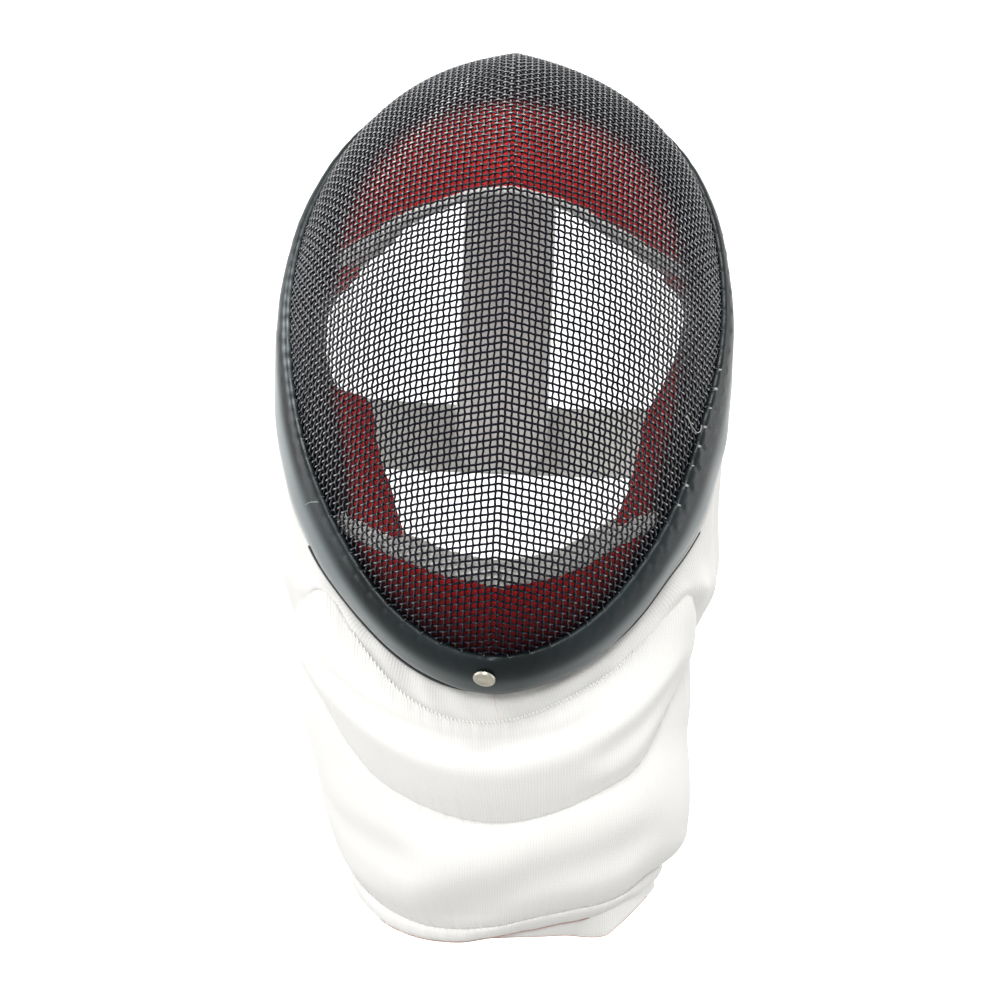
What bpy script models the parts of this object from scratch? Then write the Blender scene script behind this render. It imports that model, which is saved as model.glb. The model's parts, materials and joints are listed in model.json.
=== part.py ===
"""Fencing mask with a padded bib, as an assembly of separate pieces.

Metres, +Z up, the face looks along -Y and +X is the right of a viewer who faces it. The origin is
the seat on the crown of the wearer's head. A bowl of woven wire with a ridge down its middle is
gripped by a soft rim. A padded lining follows the inside of the bowl and leaves the face free, and
a quilted bib hangs from the rim round the chin.

The bowl is described by two angles: psi runs back from the middle of the face to the rim, and phi
runs round it, 0 at the viewer's right ear, 90 degrees at the crown and -90 degrees at the chin.
"""

import math

import bmesh
import bpy
import numpy as np

# Bowl of wire: half-axes of its outline and how far its sides, crown and chin lie behind its front.
HALF_WIDTH = 0.100
CROWN_HEIGHT = 0.1355
CHIN_HEIGHT = 0.1565
SIDE_DEPTH = 0.080
CROWN_DEPTH = 0.125
CHIN_DEPTH = 0.072
RIDGE_SLOPE = 0.39
RIDGE_ROUND = 0.003
RIDGE_FADE = 0.9
RIDGE_FADE_FROM = math.radians(65.0)
RIDGE_FADE_OVER = math.radians(40.0)
LEAN = 0.156
PEAK_DROP = 0.0024
PEAK_REACH = 0.015
WIDEST_Z = -0.116
FRONT_Y = -0.148
WIRE_CLOTH = 0.002
BOWL_COLUMNS = 56
BOWL_ROWS = 12
WIRE_IN_RIM = 0.020
POLE_PSI = 0.02

# Rim: where its front edge runs, in degrees of psi, and its folded section.
RIM_PSI_CHIN = 61.0
RIM_PSI_GAIN = 45.0
RIM_PHI_START = -50.0
RIM_PHI_SPAN = 140.0
RIM_END = 0.028
# Columns: distance back from the rim's front edge, height over the outer face of the wire.
RIM_SECTION = (
    (0.0000, 0.0005),
    (0.0006, 0.0022),
    (0.0040, 0.0038),
    (0.0110, 0.0046),
    (0.0190, 0.0043),
    (0.0245, 0.0031),
    (0.0275, 0.0010),
    (RIM_END, -0.0012),
    (0.0273, -0.0034),
    (0.0245, -0.0046),
    (0.0150, -0.0048),
    (0.0100, -0.0043),
    (0.0094, -0.0026),
    (0.0206, -0.0026),
    (0.0206, 0.0005),
    (0.0137, 0.0005),
    (0.0068, 0.0005),
)

# Rivet at the chin.
RIVET_X = -0.002
RIVET_SETBACK = 0.0084
RIVET_LIFT = 0.0049
RIVET_STEPS = 20
# Columns: radius, height over the rivet's flat underside.
RIVET_PROFILE = (
    (0.0000, 0.0016),
    (0.0020, 0.0015),
    (0.0036, 0.0011),
    (0.0043, 0.0013),
    (0.0049, 0.0016),
    (0.0054, 0.0012),
    (0.0056, 0.0004),
    (0.0054, 0.0000),
    (0.0000, 0.0000),
)

# Lining: the opening that it leaves for the face, and its thicknesses.
FACE_HALF_WIDTH = 0.080
CHEEK_HALF_WIDTH = 0.064
CHEEK_FROM = 0.06
CHEEK_OVER = 0.15
FACE_UP = 0.066
FACE_DOWN = 0.108
CHIN_LINE_SLOPE = 0.38
CHIN_LINE_ROUND = 0.014
FACE_POWER_UP = 2.0
FACE_POWER_DOWN = 8.0
LINING_BACK = 0.0054
LINING_IN_RIM = 0.024
LINING_SPLIT_PHI = 17.0
LINING_SPLIT_GAP = 0.25
FOREHEAD_EDGE = 0.005
FOREHEAD_PADDING = 0.009
CHEEK_EDGE = 0.0035
CHEEK_PADDING = 0.0025
PADDING_POWER = 0.7
PIPING_RADIUS = 0.0022
ROLL_RADIUS = 0.0037
ROLL_END_PHI = -30.0
EDGE_GAP = 0.0008
FOREHEAD_STEPS = 25
CHEEK_STEPS = 37
ROLL_STEPS = 31
CORD_SIDES = 8

# Bib: heights are given as drops below the widest level of the bowl.
# Columns: drop, half-width, depth in front of the bib's own middle.
BIB_PROFILE = (
    (0.060, 0.0980, 0.0960),
    (0.105, 0.0970, 0.0960),
    (0.131, 0.0890, 0.0950),
    (0.169, 0.0855, 0.0945),
    (0.211, 0.0790, 0.0925),
    (0.240, 0.0735, 0.0890),
    (0.266, 0.0670, 0.0800),
)
BIB_MIDDLE_Y = -0.017
BIB_END_DEG = 100.0
BIB_SWING = 0.012
BIB_SWING_DROP = 0.120
BIB_SWING_SPAN = 0.115
SEAM_ONE_DROP = 0.169
SEAM_ONE_RISE = 0.115
SEAM_ONE_END_DEG = 57.0
TIER_TIP_DEG = 88.0
TIER_TIP_DROP = 0.127
FLAP_DROP = 0.131
SEAM_TWO_DROP = 0.2105
SEAM_TWO_RISE = 0.075
HEM_DROP = 0.2545
HEM_RISE = 0.010
HEM_HEIGHT = 0.0085
SEAM_GAP = 0.0004
BIB_WALL = 0.0035
UPPER_BILLOW = 0.007
LOWER_BILLOW = 0.006
BILLOW_INSIDE = 0.5
BILLOW_POWER = 0.8
FULL_BILLOW_HEIGHT = 0.040
LEAST_BILLOW = 0.2
UPPER_STEPS = 33
LOWER_STEPS = 37
TIER_ROWS = 7
COLLAR_ROWS = 6
COLLAR_WALL = 0.0040
COLLAR_TOP_PHI = -12.0
COLLAR_CLEARANCE = 0.0006
COLLAR_BOW = 0.004
BEHIND_RIM_HEIGHT = -0.001
HEM_WALL = 0.0070
HEM_SIDES = 10

# Tongue and strap behind the head.
TONGUE_WIDTH = 0.046
TONGUE_THICKNESS = 0.006
TONGUE_CLEARANCE = 0.0006
TONGUE_STEPS = 19
# Columns: y, z of the tongue's middle line, from below its root at the rim to its free end.
TONGUE_LINE = (
    (0.0760, -0.0120),
    (0.0860, -0.0340),
    (0.0920, -0.0660),
    (0.0900, -0.1000),
    (0.0870, -0.1320),
    (0.0860, -0.1600),
    (0.0860, -0.1740),
)
STRAP_WIDTH = 0.034
STRAP_THICKNESS = 0.0022
STRAP_PHI = -16.0
STRAP_SETBACK = 0.016
STRAP_INSET = 0.0136
STRAP_BACK_Y = 0.0950
STRAP_POWER = 2.4
STRAP_STEPS = 28

# Step for slopes, and the angle between faces above which an edge is drawn sharp.
STEP = 1e-4
SHARP_DEG = 50.0


def smooth(t):
    """Smoothstep: 0 below 0, 1 above 1 and level at both ends."""
    t = np.clip(t, 0.0, 1.0)
    return t * t * (3.0 - 2.0 * t)


def bowl(psi, phi):
    """Outer face of the wire: half an ellipsoid, deeper at the crown, folded along the ridge.

    The fold brings the crown to a slight peak and fades out behind it, towards the rim.
    """
    across, up = np.cos(phi), np.sin(phi)
    x = HALF_WIDTH * np.sin(psi) * across
    rise = np.where(up > 0.0, CROWN_HEIGHT, CHIN_HEIGHT) * np.sin(psi) * up
    depth = SIDE_DEPTH + (np.where(up > 0.0, CROWN_DEPTH, CHIN_DEPTH) - SIDE_DEPTH) * up**2
    behind = smooth((psi - RIDGE_FADE_FROM) / RIDGE_FADE_OVER) * np.maximum(up, 0.0) ** 2
    fold = RIDGE_SLOPE * (np.hypot(x, RIDGE_ROUND) - RIDGE_ROUND) * (1.0 - RIDGE_FADE * behind)
    y = FRONT_Y + depth * (1.0 - np.cos(psi)) + fold + LEAN * rise
    peak = PEAK_DROP * (1.0 - np.exp(-np.abs(x) / PEAK_REACH)) * np.maximum(up, 0.0) ** 4
    return np.stack([x, y, WIDEST_Z + rise - peak * np.sin(psi)], axis=-1)


def unit(vectors):
    return vectors / np.linalg.norm(vectors, axis=-1, keepdims=True)


def bowl_normal(psi, phi):
    """Outward direction of the bowl, from the cross product of its two slopes."""
    psi = np.maximum(psi, POLE_PSI)
    along = bowl(psi + STEP, phi) - bowl(psi - STEP, phi)
    around = bowl(psi, phi + STEP) - bowl(psi, phi - STEP)
    return unit(np.cross(along, around))


def layer(psi, phi, height):
    """Point at a height over the wire's outer face, below it where the height is negative."""
    psi, phi, height = np.broadcast_arrays(psi, phi, height)
    return bowl(psi, phi) + bowl_normal(psi, phi) * height[..., None]


def speed(psi, phi):
    """Metres travelled per radian of psi."""
    return np.linalg.norm(bowl(psi + STEP, phi) - bowl(psi - STEP, phi), axis=-1) / (2.0 * STEP)


def rim_front(phi):
    """Angle psi of the rim's front edge: forward round the chin, far back over the crown."""
    lift = np.degrees(np.arcsin(np.sin(phi)))
    return np.radians(RIM_PSI_CHIN + RIM_PSI_GAIN * smooth((lift - RIM_PHI_START) / RIM_PHI_SPAN))


def rim_psi(setback, phi):
    """Angle psi at a distance behind the rim's front edge."""
    front = rim_front(phi)
    middle = front + 0.5 * setback / speed(front, phi)
    return front + setback / speed(middle, phi)


def face_psi(phi):
    """Angle psi of the edge of the opening for the face: an oval above, a straight V below.

    Below the ears the cheek pads narrow it, and the V meets their edges in round corners.
    """
    up = np.sin(phi)
    below = smooth((-up - CHEEK_FROM) / CHEEK_OVER)
    power = FACE_POWER_UP + (FACE_POWER_DOWN - FACE_POWER_UP) * below
    half_width = FACE_HALF_WIDTH + (CHEEK_HALF_WIDTH - FACE_HALF_WIDTH) * below
    across = HALF_WIDTH * np.abs(np.cos(phi))
    tall = np.where(up > 0.0, CROWN_HEIGHT / FACE_UP, CHIN_HEIGHT / FACE_DOWN) * np.abs(up)
    vee = np.hypot(across, CHIN_LINE_ROUND) - CHIN_LINE_ROUND
    tall = tall + CHIN_LINE_SLOPE * below * vee / FACE_DOWN
    return np.arcsin(((across / half_width) ** power + tall**power) ** (-1.0 / power))


def bib_shape(drop):
    """Half-width and front depth of the bib at a drop, on a smooth curve through its table."""
    table = np.array(BIB_PROFILE)
    slopes = np.gradient(table[:, 1:], table[:, 0], axis=0)
    drop = np.clip(drop, table[0, 0], table[-1, 0])
    i = np.clip(np.searchsorted(table[:, 0], drop) - 1, 0, len(table) - 2)
    span = table[i + 1, 0] - table[i, 0]
    t = ((drop - table[i, 0]) / span)[..., None]
    span = span[..., None]
    start, end = table[i, 1:], table[i + 1, 1:]
    value = start * (1 + 2 * t) * (1 - t) ** 2 + end * t**2 * (3 - 2 * t)
    value += span * (slopes[i] * t * (1 - t) ** 2 - slopes[i + 1] * t**2 * (1 - t))
    return value[..., 0], value[..., 1]


def bib_point(theta, drop, proud):
    """Point of the bib at an angle from its front and a drop, proud of its base outward."""
    theta, drop, proud = np.broadcast_arrays(theta, drop, proud)
    half_width, depth = bib_shape(drop)
    swing = BIB_SWING * smooth((drop - BIB_SWING_DROP) / BIB_SWING_SPAN)
    x = swing + (half_width + proud) * np.sin(theta)
    y = BIB_MIDDLE_Y - (depth + proud) * np.cos(theta)
    return np.stack([x, y, WIDEST_Z - drop], axis=-1)


def seam_one(theta):
    """Drop of the seam under the collar; past its ends it runs down to the tips of the tier."""
    degrees = np.abs(np.degrees(theta))
    arc = SEAM_ONE_DROP - SEAM_ONE_RISE * (1.0 - np.cos(theta))
    end = SEAM_ONE_DROP - SEAM_ONE_RISE * (1.0 - math.cos(math.radians(SEAM_ONE_END_DEG)))
    past = (degrees - SEAM_ONE_END_DEG) / (TIER_TIP_DEG - SEAM_ONE_END_DEG)
    tip = end + (TIER_TIP_DROP - end) * past
    return np.where(degrees < SEAM_ONE_END_DEG, arc, np.minimum(tip, FLAP_DROP))


def seam_two(theta):
    """Drop of the seam between the two tiers, never above the tips of the upper one."""
    arc = SEAM_TWO_DROP - SEAM_TWO_RISE * (1.0 - np.cos(theta))
    return np.maximum(arc, FLAP_DROP + SEAM_GAP)


def hem(theta):
    """Drop of the seam over the hem."""
    return HEM_DROP - HEM_RISE * (1.0 - np.cos(theta))


def new_material(name, colour, roughness, metallic=0.0):
    material = bpy.data.materials.new(name)
    material.use_nodes = True
    shader = material.node_tree.nodes["Principled BSDF"]
    shader.inputs["Base Color"].default_value = (*colour, 1.0)
    shader.inputs["Roughness"].default_value = roughness
    shader.inputs["Metallic"].default_value = metallic
    return material


def new_object(name, vertices, faces, material, collection):
    """Object from arrays, with its faces turned outward and its round parts shaded smooth."""
    mesh = bpy.data.meshes.new(name)
    mesh.from_pydata(vertices.reshape(-1, 3).tolist(), [], faces)
    shell = bmesh.new()
    shell.from_mesh(mesh)
    bmesh.ops.recalc_face_normals(shell, faces=shell.faces)
    shell.to_mesh(mesh)
    shell.free()
    mesh.shade_smooth()
    mesh.set_sharp_from_angle(angle=math.radians(SHARP_DEG))
    mesh.materials.append(material)
    item = bpy.data.objects.new(name, mesh)
    collection.objects.link(item)
    return item


def grid_faces(rows, columns, start=0, close_rows=False, close_columns=False):
    """Quads between neighbouring points of a grid whose points are numbered row by row."""
    last_row = rows if close_rows else rows - 1
    last_column = columns if close_columns else columns - 1
    faces = []
    for r in range(last_row):
        for c in range(last_column):
            below, beside = (r + 1) % rows, (c + 1) % columns
            corners = ((r, c), (r, beside), (below, beside), (below, c))
            faces.append([start + row * columns + column for row, column in corners])
    return faces


def closed_wall(name, outer, inner, material, collection):
    """Solid wall between two grids of the same size, closed along its four edges."""
    rows, columns = outer.shape[:2]
    total = rows * columns
    faces = grid_faces(rows, columns) + grid_faces(rows, columns, total)
    border = list(range(columns))
    border += [r * columns + columns - 1 for r in range(1, rows)]
    border += [(rows - 1) * columns + c for c in range(columns - 2, -1, -1)]
    border += [r * columns for r in range(rows - 2, 0, -1)]
    for here, there in zip(border, border[1:] + border[:1]):
        faces.append([here, there, there + total, here + total])
    return new_object(name, np.concatenate([outer, inner]), faces, material, collection)


def closed_tube(name, rings, material, collection, endless=False):
    """Solid swept through rings of points, with flat ends unless it runs back into itself."""
    steps, sides = rings.shape[:2]
    faces = grid_faces(steps, sides, 0, endless, True)
    if not endless:
        faces.append(list(range(sides)))
        faces.append([(steps - 1) * sides + s for s in range(sides)])
    return new_object(name, rings, faces, material, collection)


def cord_along(name, points, radius, material, collection):
    """Round cord through a row of points, as a curve with a bevel and filled ends."""
    curve = bpy.data.curves.new(name, "CURVE")
    curve.dimensions = "3D"
    curve.bevel_depth = radius
    curve.bevel_resolution = (CORD_SIDES - 4) // 2
    curve.use_fill_caps = True
    spline = curve.splines.new("POLY")
    spline.points.add(len(points) - 1)
    for point, place in zip(spline.points, points):
        point.co = (*place, 1.0)
    curve.materials.append(material)
    item = bpy.data.objects.new(name, curve)
    collection.objects.link(item)
    return item


def build_wire_mesh(collection):
    """Bowl of woven wire: rings of points round the middle of the face, given the cloth's wall."""
    black = new_material("black painted wire", (0.012, 0.013, 0.015), 0.45, 0.6)
    phi = np.linspace(-math.pi, math.pi, BOWL_COLUMNS, endpoint=False)
    edge = rim_psi(WIRE_IN_RIM, phi)
    shares = np.arange(1, BOWL_ROWS + 1)[:, None] / BOWL_ROWS
    rings = bowl(edge[None, :] * shares, phi[None, :])
    points = np.concatenate([rings.reshape(-1, 3), bowl(np.zeros(1), np.zeros(1))])
    faces = grid_faces(BOWL_ROWS, BOWL_COLUMNS, 0, False, True)
    pole = BOWL_ROWS * BOWL_COLUMNS
    faces += [[pole, c, (c + 1) % BOWL_COLUMNS] for c in range(BOWL_COLUMNS)]
    item = new_object("wire_mesh", points, faces, black, collection)
    if item.data.polygons[0].normal.y > 0.0:
        item.data.flip_normals()
    wall = item.modifiers.new("wall", "SOLIDIFY")
    wall.thickness = WIRE_CLOTH
    wall.offset = -1.0
    return item


def build_rim(collection):
    """Rim folded over the edge of the wire, one section carried right round the bowl."""
    rubber = new_material("black rim rubber", (0.022, 0.025, 0.028), 0.4)
    phi = np.linspace(-math.pi, math.pi, BOWL_COLUMNS, endpoint=False)
    section = np.array(RIM_SECTION)
    psi = rim_psi(section[None, :, 0], phi[:, None])
    rings = layer(psi, phi[:, None], section[None, :, 1])
    return closed_tube("rim_trim", rings, rubber, collection, endless=True)


def build_rivet(collection):
    """Domed rivet head with a raised edge, turned from its profile and seated on the rim."""
    nickel = new_material("nickel rivet", (0.62, 0.60, 0.54), 0.3, 1.0)
    phi = np.array(-math.pi / 2.0)
    psi = rim_psi(RIVET_SETBACK, phi)
    phi = phi + RIVET_X / (HALF_WIDTH * np.sin(psi))
    seat = layer(psi, phi, np.array(RIVET_LIFT))
    axis = bowl_normal(psi, phi)
    profile = [(radius, 0.0, height) for radius, height in RIVET_PROFILE]
    edges = [(i, i + 1) for i in range(len(profile) - 1)]
    mesh = bpy.data.meshes.new("chin_rivet")
    mesh.from_pydata(profile, edges, [])
    mesh.materials.append(nickel)
    item = bpy.data.objects.new("chin_rivet", mesh)
    collection.objects.link(item)
    turn = item.modifiers.new("turn", "SCREW")
    turn.steps = RIVET_STEPS
    turn.render_steps = RIVET_STEPS
    turn.use_merge_vertices = True
    turn.merge_threshold = 0.0001
    turn.use_smooth_shade = True
    item.location = seat.tolist()
    pitch = math.acos(axis[2])
    yaw = math.atan2(axis[1], axis[0])
    item.rotation_euler = (0.0, pitch, yaw)
    return item


def lining_wall(name, phi, edge, padding, columns, material, collection):
    """Padded wall under the wire, from the edge of the face opening back under the rim."""
    share = np.linspace(0.0, 1.0, columns)
    front = face_psi(phi)[:, None]
    back = rim_psi(LINING_IN_RIM, phi)[:, None]
    psi = front + (back - front) * share[None, :]
    thickness = edge + padding * np.sin(math.pi * share) ** PADDING_POWER
    outer = layer(psi, phi[:, None], np.array(-LINING_BACK))
    inner = layer(psi, phi[:, None], -LINING_BACK - thickness[None, :])
    return closed_wall(name, outer, inner, material, collection)


def opening_line(phi, radius, edge):
    """Middle line of a cord laid against the lining, square to the edge of the face opening."""
    psi = face_psi(phi)
    rim = layer(psi, phi, np.array(-LINING_BACK - 0.5 * edge))
    inward = unit(np.cross(np.gradient(rim, axis=0), bowl_normal(psi, phi)))
    towards_face = bowl(psi - STEP, phi) - bowl(psi, phi)
    inward = inward * np.sign(np.sum(inward * towards_face, axis=-1))[:, None]
    return rim + inward * (radius + EDGE_GAP)


def build_lining(collection):
    """Forehead pad, cheek and chin lining, and the piping and roll along their free edges."""
    red = new_material("red lining cloth", (0.52, 0.035, 0.045), 0.85)
    grey = new_material("pale edge binding", (0.60, 0.62, 0.56), 0.8)
    split = math.radians(LINING_SPLIT_PHI)
    gap = math.radians(LINING_SPLIT_GAP)
    over = np.linspace(split, math.pi - split, FOREHEAD_STEPS)
    under = np.linspace(split - gap, -math.pi - split + gap, CHEEK_STEPS)
    lining_wall("forehead_pad", over, FOREHEAD_EDGE, FOREHEAD_PADDING, 8, red, collection)
    lining_wall("cheek_lining", under, CHEEK_EDGE, CHEEK_PADDING, 5, red, collection)
    piping = opening_line(over, PIPING_RADIUS, FOREHEAD_EDGE)
    cord_along("forehead_piping", piping, PIPING_RADIUS, grey, collection)
    end = math.radians(ROLL_END_PHI)
    round_chin = np.linspace(end, -math.pi - end, ROLL_STEPS)
    roll = opening_line(round_chin, ROLL_RADIUS, CHEEK_EDGE)
    cord_along("chin_roll", roll, ROLL_RADIUS, grey, collection)


def build_collar(white, collection):
    """Inner layer of the bib: from behind the rim down to the first seam, with a flap each side."""
    share = np.linspace(-1.0, 1.0, LOWER_STEPS)
    theta = np.radians(BIB_END_DEG) * share
    reach = 90.0 + COLLAR_TOP_PHI
    phi = np.radians(-90.0 + reach * share)
    outward = np.stack([np.sin(theta), -np.cos(theta), np.zeros_like(theta)], axis=-1)
    end_psi = rim_psi(RIM_END, phi)
    back = unit(bowl(end_psi + STEP, phi) - bowl(end_psi, phi))
    turn = np.abs(np.sum(back * outward, axis=-1))
    setback = RIM_END + COLLAR_CLEARANCE + 0.5 * COLLAR_WALL * turn
    top = layer(rim_psi(setback, phi), phi, np.array(BEHIND_RIM_HEIGHT))
    foot = bib_point(theta, seam_one(theta) - SEAM_GAP, -0.5 * COLLAR_WALL)
    fall = np.linspace(0.0, 1.0, COLLAR_ROWS)
    bow = COLLAR_BOW * np.sin(math.pi * fall)[None, :] * np.abs(share)[:, None]
    sheet = top[:, None, :] * (1.0 - fall)[None, :, None] + foot[:, None, :] * fall[None, :, None]
    sheet = sheet + bow[:, :, None] * outward[:, None, :]
    half = 0.5 * COLLAR_WALL * outward[:, None, :]
    return closed_wall("bib_collar", sheet + half, sheet - half, white, collection)


def bib_tier(name, theta, top, bottom, billow, white, collection):
    """Padded tier of the bib between two seams, swollen outward between them."""
    share = np.linspace(0.0, 1.0, TIER_ROWS)
    drop = top[:, None] + (bottom - top)[:, None] * share[None, :]
    height = np.clip((bottom - top) / FULL_BILLOW_HEIGHT, LEAST_BILLOW, 1.0)[:, None]
    swell = billow * height * np.sin(math.pi * share)[None, :] ** BILLOW_POWER
    outer = bib_point(theta[:, None], drop, swell)
    inner = bib_point(theta[:, None], drop, BILLOW_INSIDE * swell - BIB_WALL)
    return closed_wall(name, outer, inner, white, collection)


def build_bib(collection):
    """Collar, two billowing tiers and the bound hem, each sewn to the next along a curved seam."""
    white = new_material("white padded cloth", (0.86, 0.86, 0.83), 0.85)
    build_collar(white, collection)
    tip = np.radians(TIER_TIP_DEG)
    near = np.linspace(-tip, tip, UPPER_STEPS)
    upper_foot = seam_two(near) - SEAM_GAP
    bib_tier("bib_upper_tier", near, seam_one(near), upper_foot, UPPER_BILLOW, white, collection)
    end = np.radians(BIB_END_DEG)
    wide = np.linspace(-end, end, LOWER_STEPS)
    bib_tier("bib_lower_tier", wide, seam_two(wide), hem(wide), LOWER_BILLOW, white, collection)
    turn = np.linspace(0.0, 2.0 * math.pi, HEM_SIDES, endpoint=False)
    drop = hem(wide)[:, None] + SEAM_GAP + 0.5 * HEM_HEIGHT * (1.0 - np.cos(turn))[None, :]
    proud = 0.5 * HEM_WALL * np.sin(turn)[None, :] - 0.5 * BIB_WALL
    rings = bib_point(wide[:, None], drop, proud)
    closed_tube("bib_hem", rings, white, collection)


def band_rings(line, across, width, thickness):
    """Rectangular rings along a line, flat side facing away from the line's own bend."""
    along = unit(np.gradient(line, axis=0))
    across = np.broadcast_to(across, line.shape)
    out = unit(np.cross(along, across))
    corners = ((-1, -1), (1, -1), (1, 1), (-1, 1))
    rings = [line + across * (0.5 * width * a) + out * (0.5 * thickness * b) for a, b in corners]
    return np.stack(rings, axis=1)


def build_back(collection):
    """Sprung tongue covered in cloth down the back of the head, and the elastic strap behind it."""
    cover = new_material("white tongue cover", (0.80, 0.80, 0.77), 0.85)
    elastic = new_material("white elastic", (0.78, 0.78, 0.76), 0.8)
    crown = math.pi / 2.0
    root_psi = rim_psi(RIM_END + TONGUE_CLEARANCE, crown)
    root = layer(root_psi, crown, np.array(BEHIND_RIM_HEIGHT))
    points = np.array([root[1:].tolist(), *TONGUE_LINE])
    places = np.linspace(0.0, len(points) - 1.0, TONGUE_STEPS)
    numbers = np.arange(len(points))
    line = np.stack([np.interp(places, numbers, column) for column in points.T], axis=1)
    for _ in range(2):
        line[1:-1] = 0.25 * line[:-2] + 0.5 * line[1:-1] + 0.25 * line[2:]
    tongue = np.column_stack([np.zeros(len(line)), line])
    rings = band_rings(tongue, np.array([1.0, 0.0, 0.0]), TONGUE_WIDTH, TONGUE_THICKNESS)
    closed_tube("back_tongue", rings, cover, collection)

    phi = np.radians(STRAP_PHI)
    start = layer(rim_psi(STRAP_SETBACK, phi), phi, np.array(-STRAP_INSET))
    turn = np.linspace(0.0, math.pi, STRAP_STEPS)
    shape = 2.0 / STRAP_POWER
    x = start[0] * np.sign(np.cos(turn)) * np.abs(np.cos(turn)) ** shape
    y = start[1] + (STRAP_BACK_Y - start[1]) * np.sin(turn) ** shape
    strap = np.column_stack([x, y, np.full(len(x), start[2])])
    rings = band_rings(strap, np.array([0.0, 0.0, 1.0]), STRAP_WIDTH, STRAP_THICKNESS)
    closed_tube("back_strap", rings, elastic, collection)


def main():
    for item in list(bpy.data.objects):
        bpy.data.objects.remove(item)
    collection = bpy.data.collections.new("fencing mask")
    bpy.context.scene.collection.children.link(collection)
    build_wire_mesh(collection)
    build_rim(collection)
    build_rivet(collection)
    build_lining(collection)
    build_bib(collection)
    build_back(collection)


main()
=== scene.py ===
"""Fencing mask with a padded bib, dressed for its picture.

Metres, +Z up, the face looks along -Y and +X is the right of a viewer who faces it. The bowl is
described by two angles: psi runs back from the middle of the face to the rim, and phi runs round
it, 0 at the viewer's right ear, 90 degrees at the crown and -90 degrees at the chin.
"""

import json
from math import cos, pi, radians, sin

import bmesh
import bpy
import numpy as np
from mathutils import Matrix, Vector

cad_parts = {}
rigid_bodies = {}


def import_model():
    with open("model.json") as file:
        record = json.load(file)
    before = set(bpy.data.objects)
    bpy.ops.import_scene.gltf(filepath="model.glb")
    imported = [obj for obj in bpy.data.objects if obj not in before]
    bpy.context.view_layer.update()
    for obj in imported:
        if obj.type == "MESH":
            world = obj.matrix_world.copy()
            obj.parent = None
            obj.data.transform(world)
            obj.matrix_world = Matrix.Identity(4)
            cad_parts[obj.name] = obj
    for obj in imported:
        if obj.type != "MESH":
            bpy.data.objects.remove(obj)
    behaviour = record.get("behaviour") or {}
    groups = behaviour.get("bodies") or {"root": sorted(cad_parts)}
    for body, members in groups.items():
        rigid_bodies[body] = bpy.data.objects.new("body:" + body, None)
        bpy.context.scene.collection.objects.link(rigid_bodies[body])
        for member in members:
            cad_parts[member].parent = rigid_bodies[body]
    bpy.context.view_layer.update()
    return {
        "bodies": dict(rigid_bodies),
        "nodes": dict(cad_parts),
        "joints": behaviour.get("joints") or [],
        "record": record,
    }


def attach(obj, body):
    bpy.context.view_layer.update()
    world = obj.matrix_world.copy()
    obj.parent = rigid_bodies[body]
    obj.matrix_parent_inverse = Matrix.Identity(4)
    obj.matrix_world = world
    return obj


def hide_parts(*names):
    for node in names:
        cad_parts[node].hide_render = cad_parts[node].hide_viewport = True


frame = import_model()

# ==== Camera, backdrop and light ====
# A long lens at the height of the mouth, level and rolled a little, before a white paper sweep.
# Large soft lamps stand in front above and at both sides, and the room is white all round.
CAMERA_PLACE = (0.0007, -1.312, -0.1877)
CAMERA_ROLL = radians(2.3)
LENS_MM = 101.3
SWEEP_HALF_WIDTH = 3.0
FLOOR_Z = -0.62
WALL_Y = 1.9
SWEEP_RADIUS = 0.9
SWEEP_FRONT_Y = 0.95
SWEEP_TOP_Z = 3.2
PAPER_HEX = "#fbfbfa"
PAPER_GLOW = 0.45
ROOM_HEX = "#ffffff"
ROOM_FRONT = 0.74
ROOM_BACK = 1.00
# Columns: name, place, what it points at, width, height, watts.
LAMPS = (
    ("lamp_above", (0.05, -0.75, 1.15), (0.0, -0.02, -0.22), 0.5, 0.4, 12.7),
    ("lamp_front", (-0.18, -1.85, 0.42), (0.0, -0.10, -0.16), 0.5, 0.5, 17.6),
    ("lamp_left", (-1.10, -0.10, 0.16), (0.0, -0.02, -0.14), 0.62, 1.1, 8.8),
    ("lamp_right", (1.10, 0.15, 0.15), (0.0, -0.02, -0.14), 0.28, 1.1, 4.0),
)


def linear(hex_colour):
    """sRGB hex to linear RGBA: each channel to 0-1, then ((c + 0.055) / 1.055) to the power 2.4."""
    channels = [int(hex_colour[i:i + 2], 16) / 255.0 for i in (1, 3, 5)]
    low = [c / 12.92 if c <= 0.04045 else ((c + 0.055) / 1.055) ** 2.4 for c in channels]
    return (*low, 1.0)


def fill_inputs(tree, item, **inputs):
    """Fills or links a node's inputs, named with _ for a space or by number after an underscore.

    A value can be a hex colour or a node, which stands for its first output, or for its third if
    it mixes colours or reads an attribute.
    """
    for name, value in inputs.items():
        socket = item.inputs[int(name[1:]) if name[1:].isdigit() else name.replace("_", " ")]
        if isinstance(value, str):
            value = linear(value)
        if isinstance(value, bpy.types.Node):
            third = value.bl_idname in ("ShaderNodeMix", "ShaderNodeAttribute")
            value = value.outputs[2 if third else 0]
        if isinstance(value, bpy.types.NodeSocket):
            tree.links.new(value, socket)
        else:
            socket.default_value = value


def add_node(tree, kind, **values):
    """Adds a node. A value in small letters sets a property, and any other fills an input."""
    item = tree.nodes.new("ShaderNode" + kind)
    for name in [name for name in values if name.islower()]:
        setattr(item, name, values.pop(name))
    fill_inputs(tree, item, **values)
    return item


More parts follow.
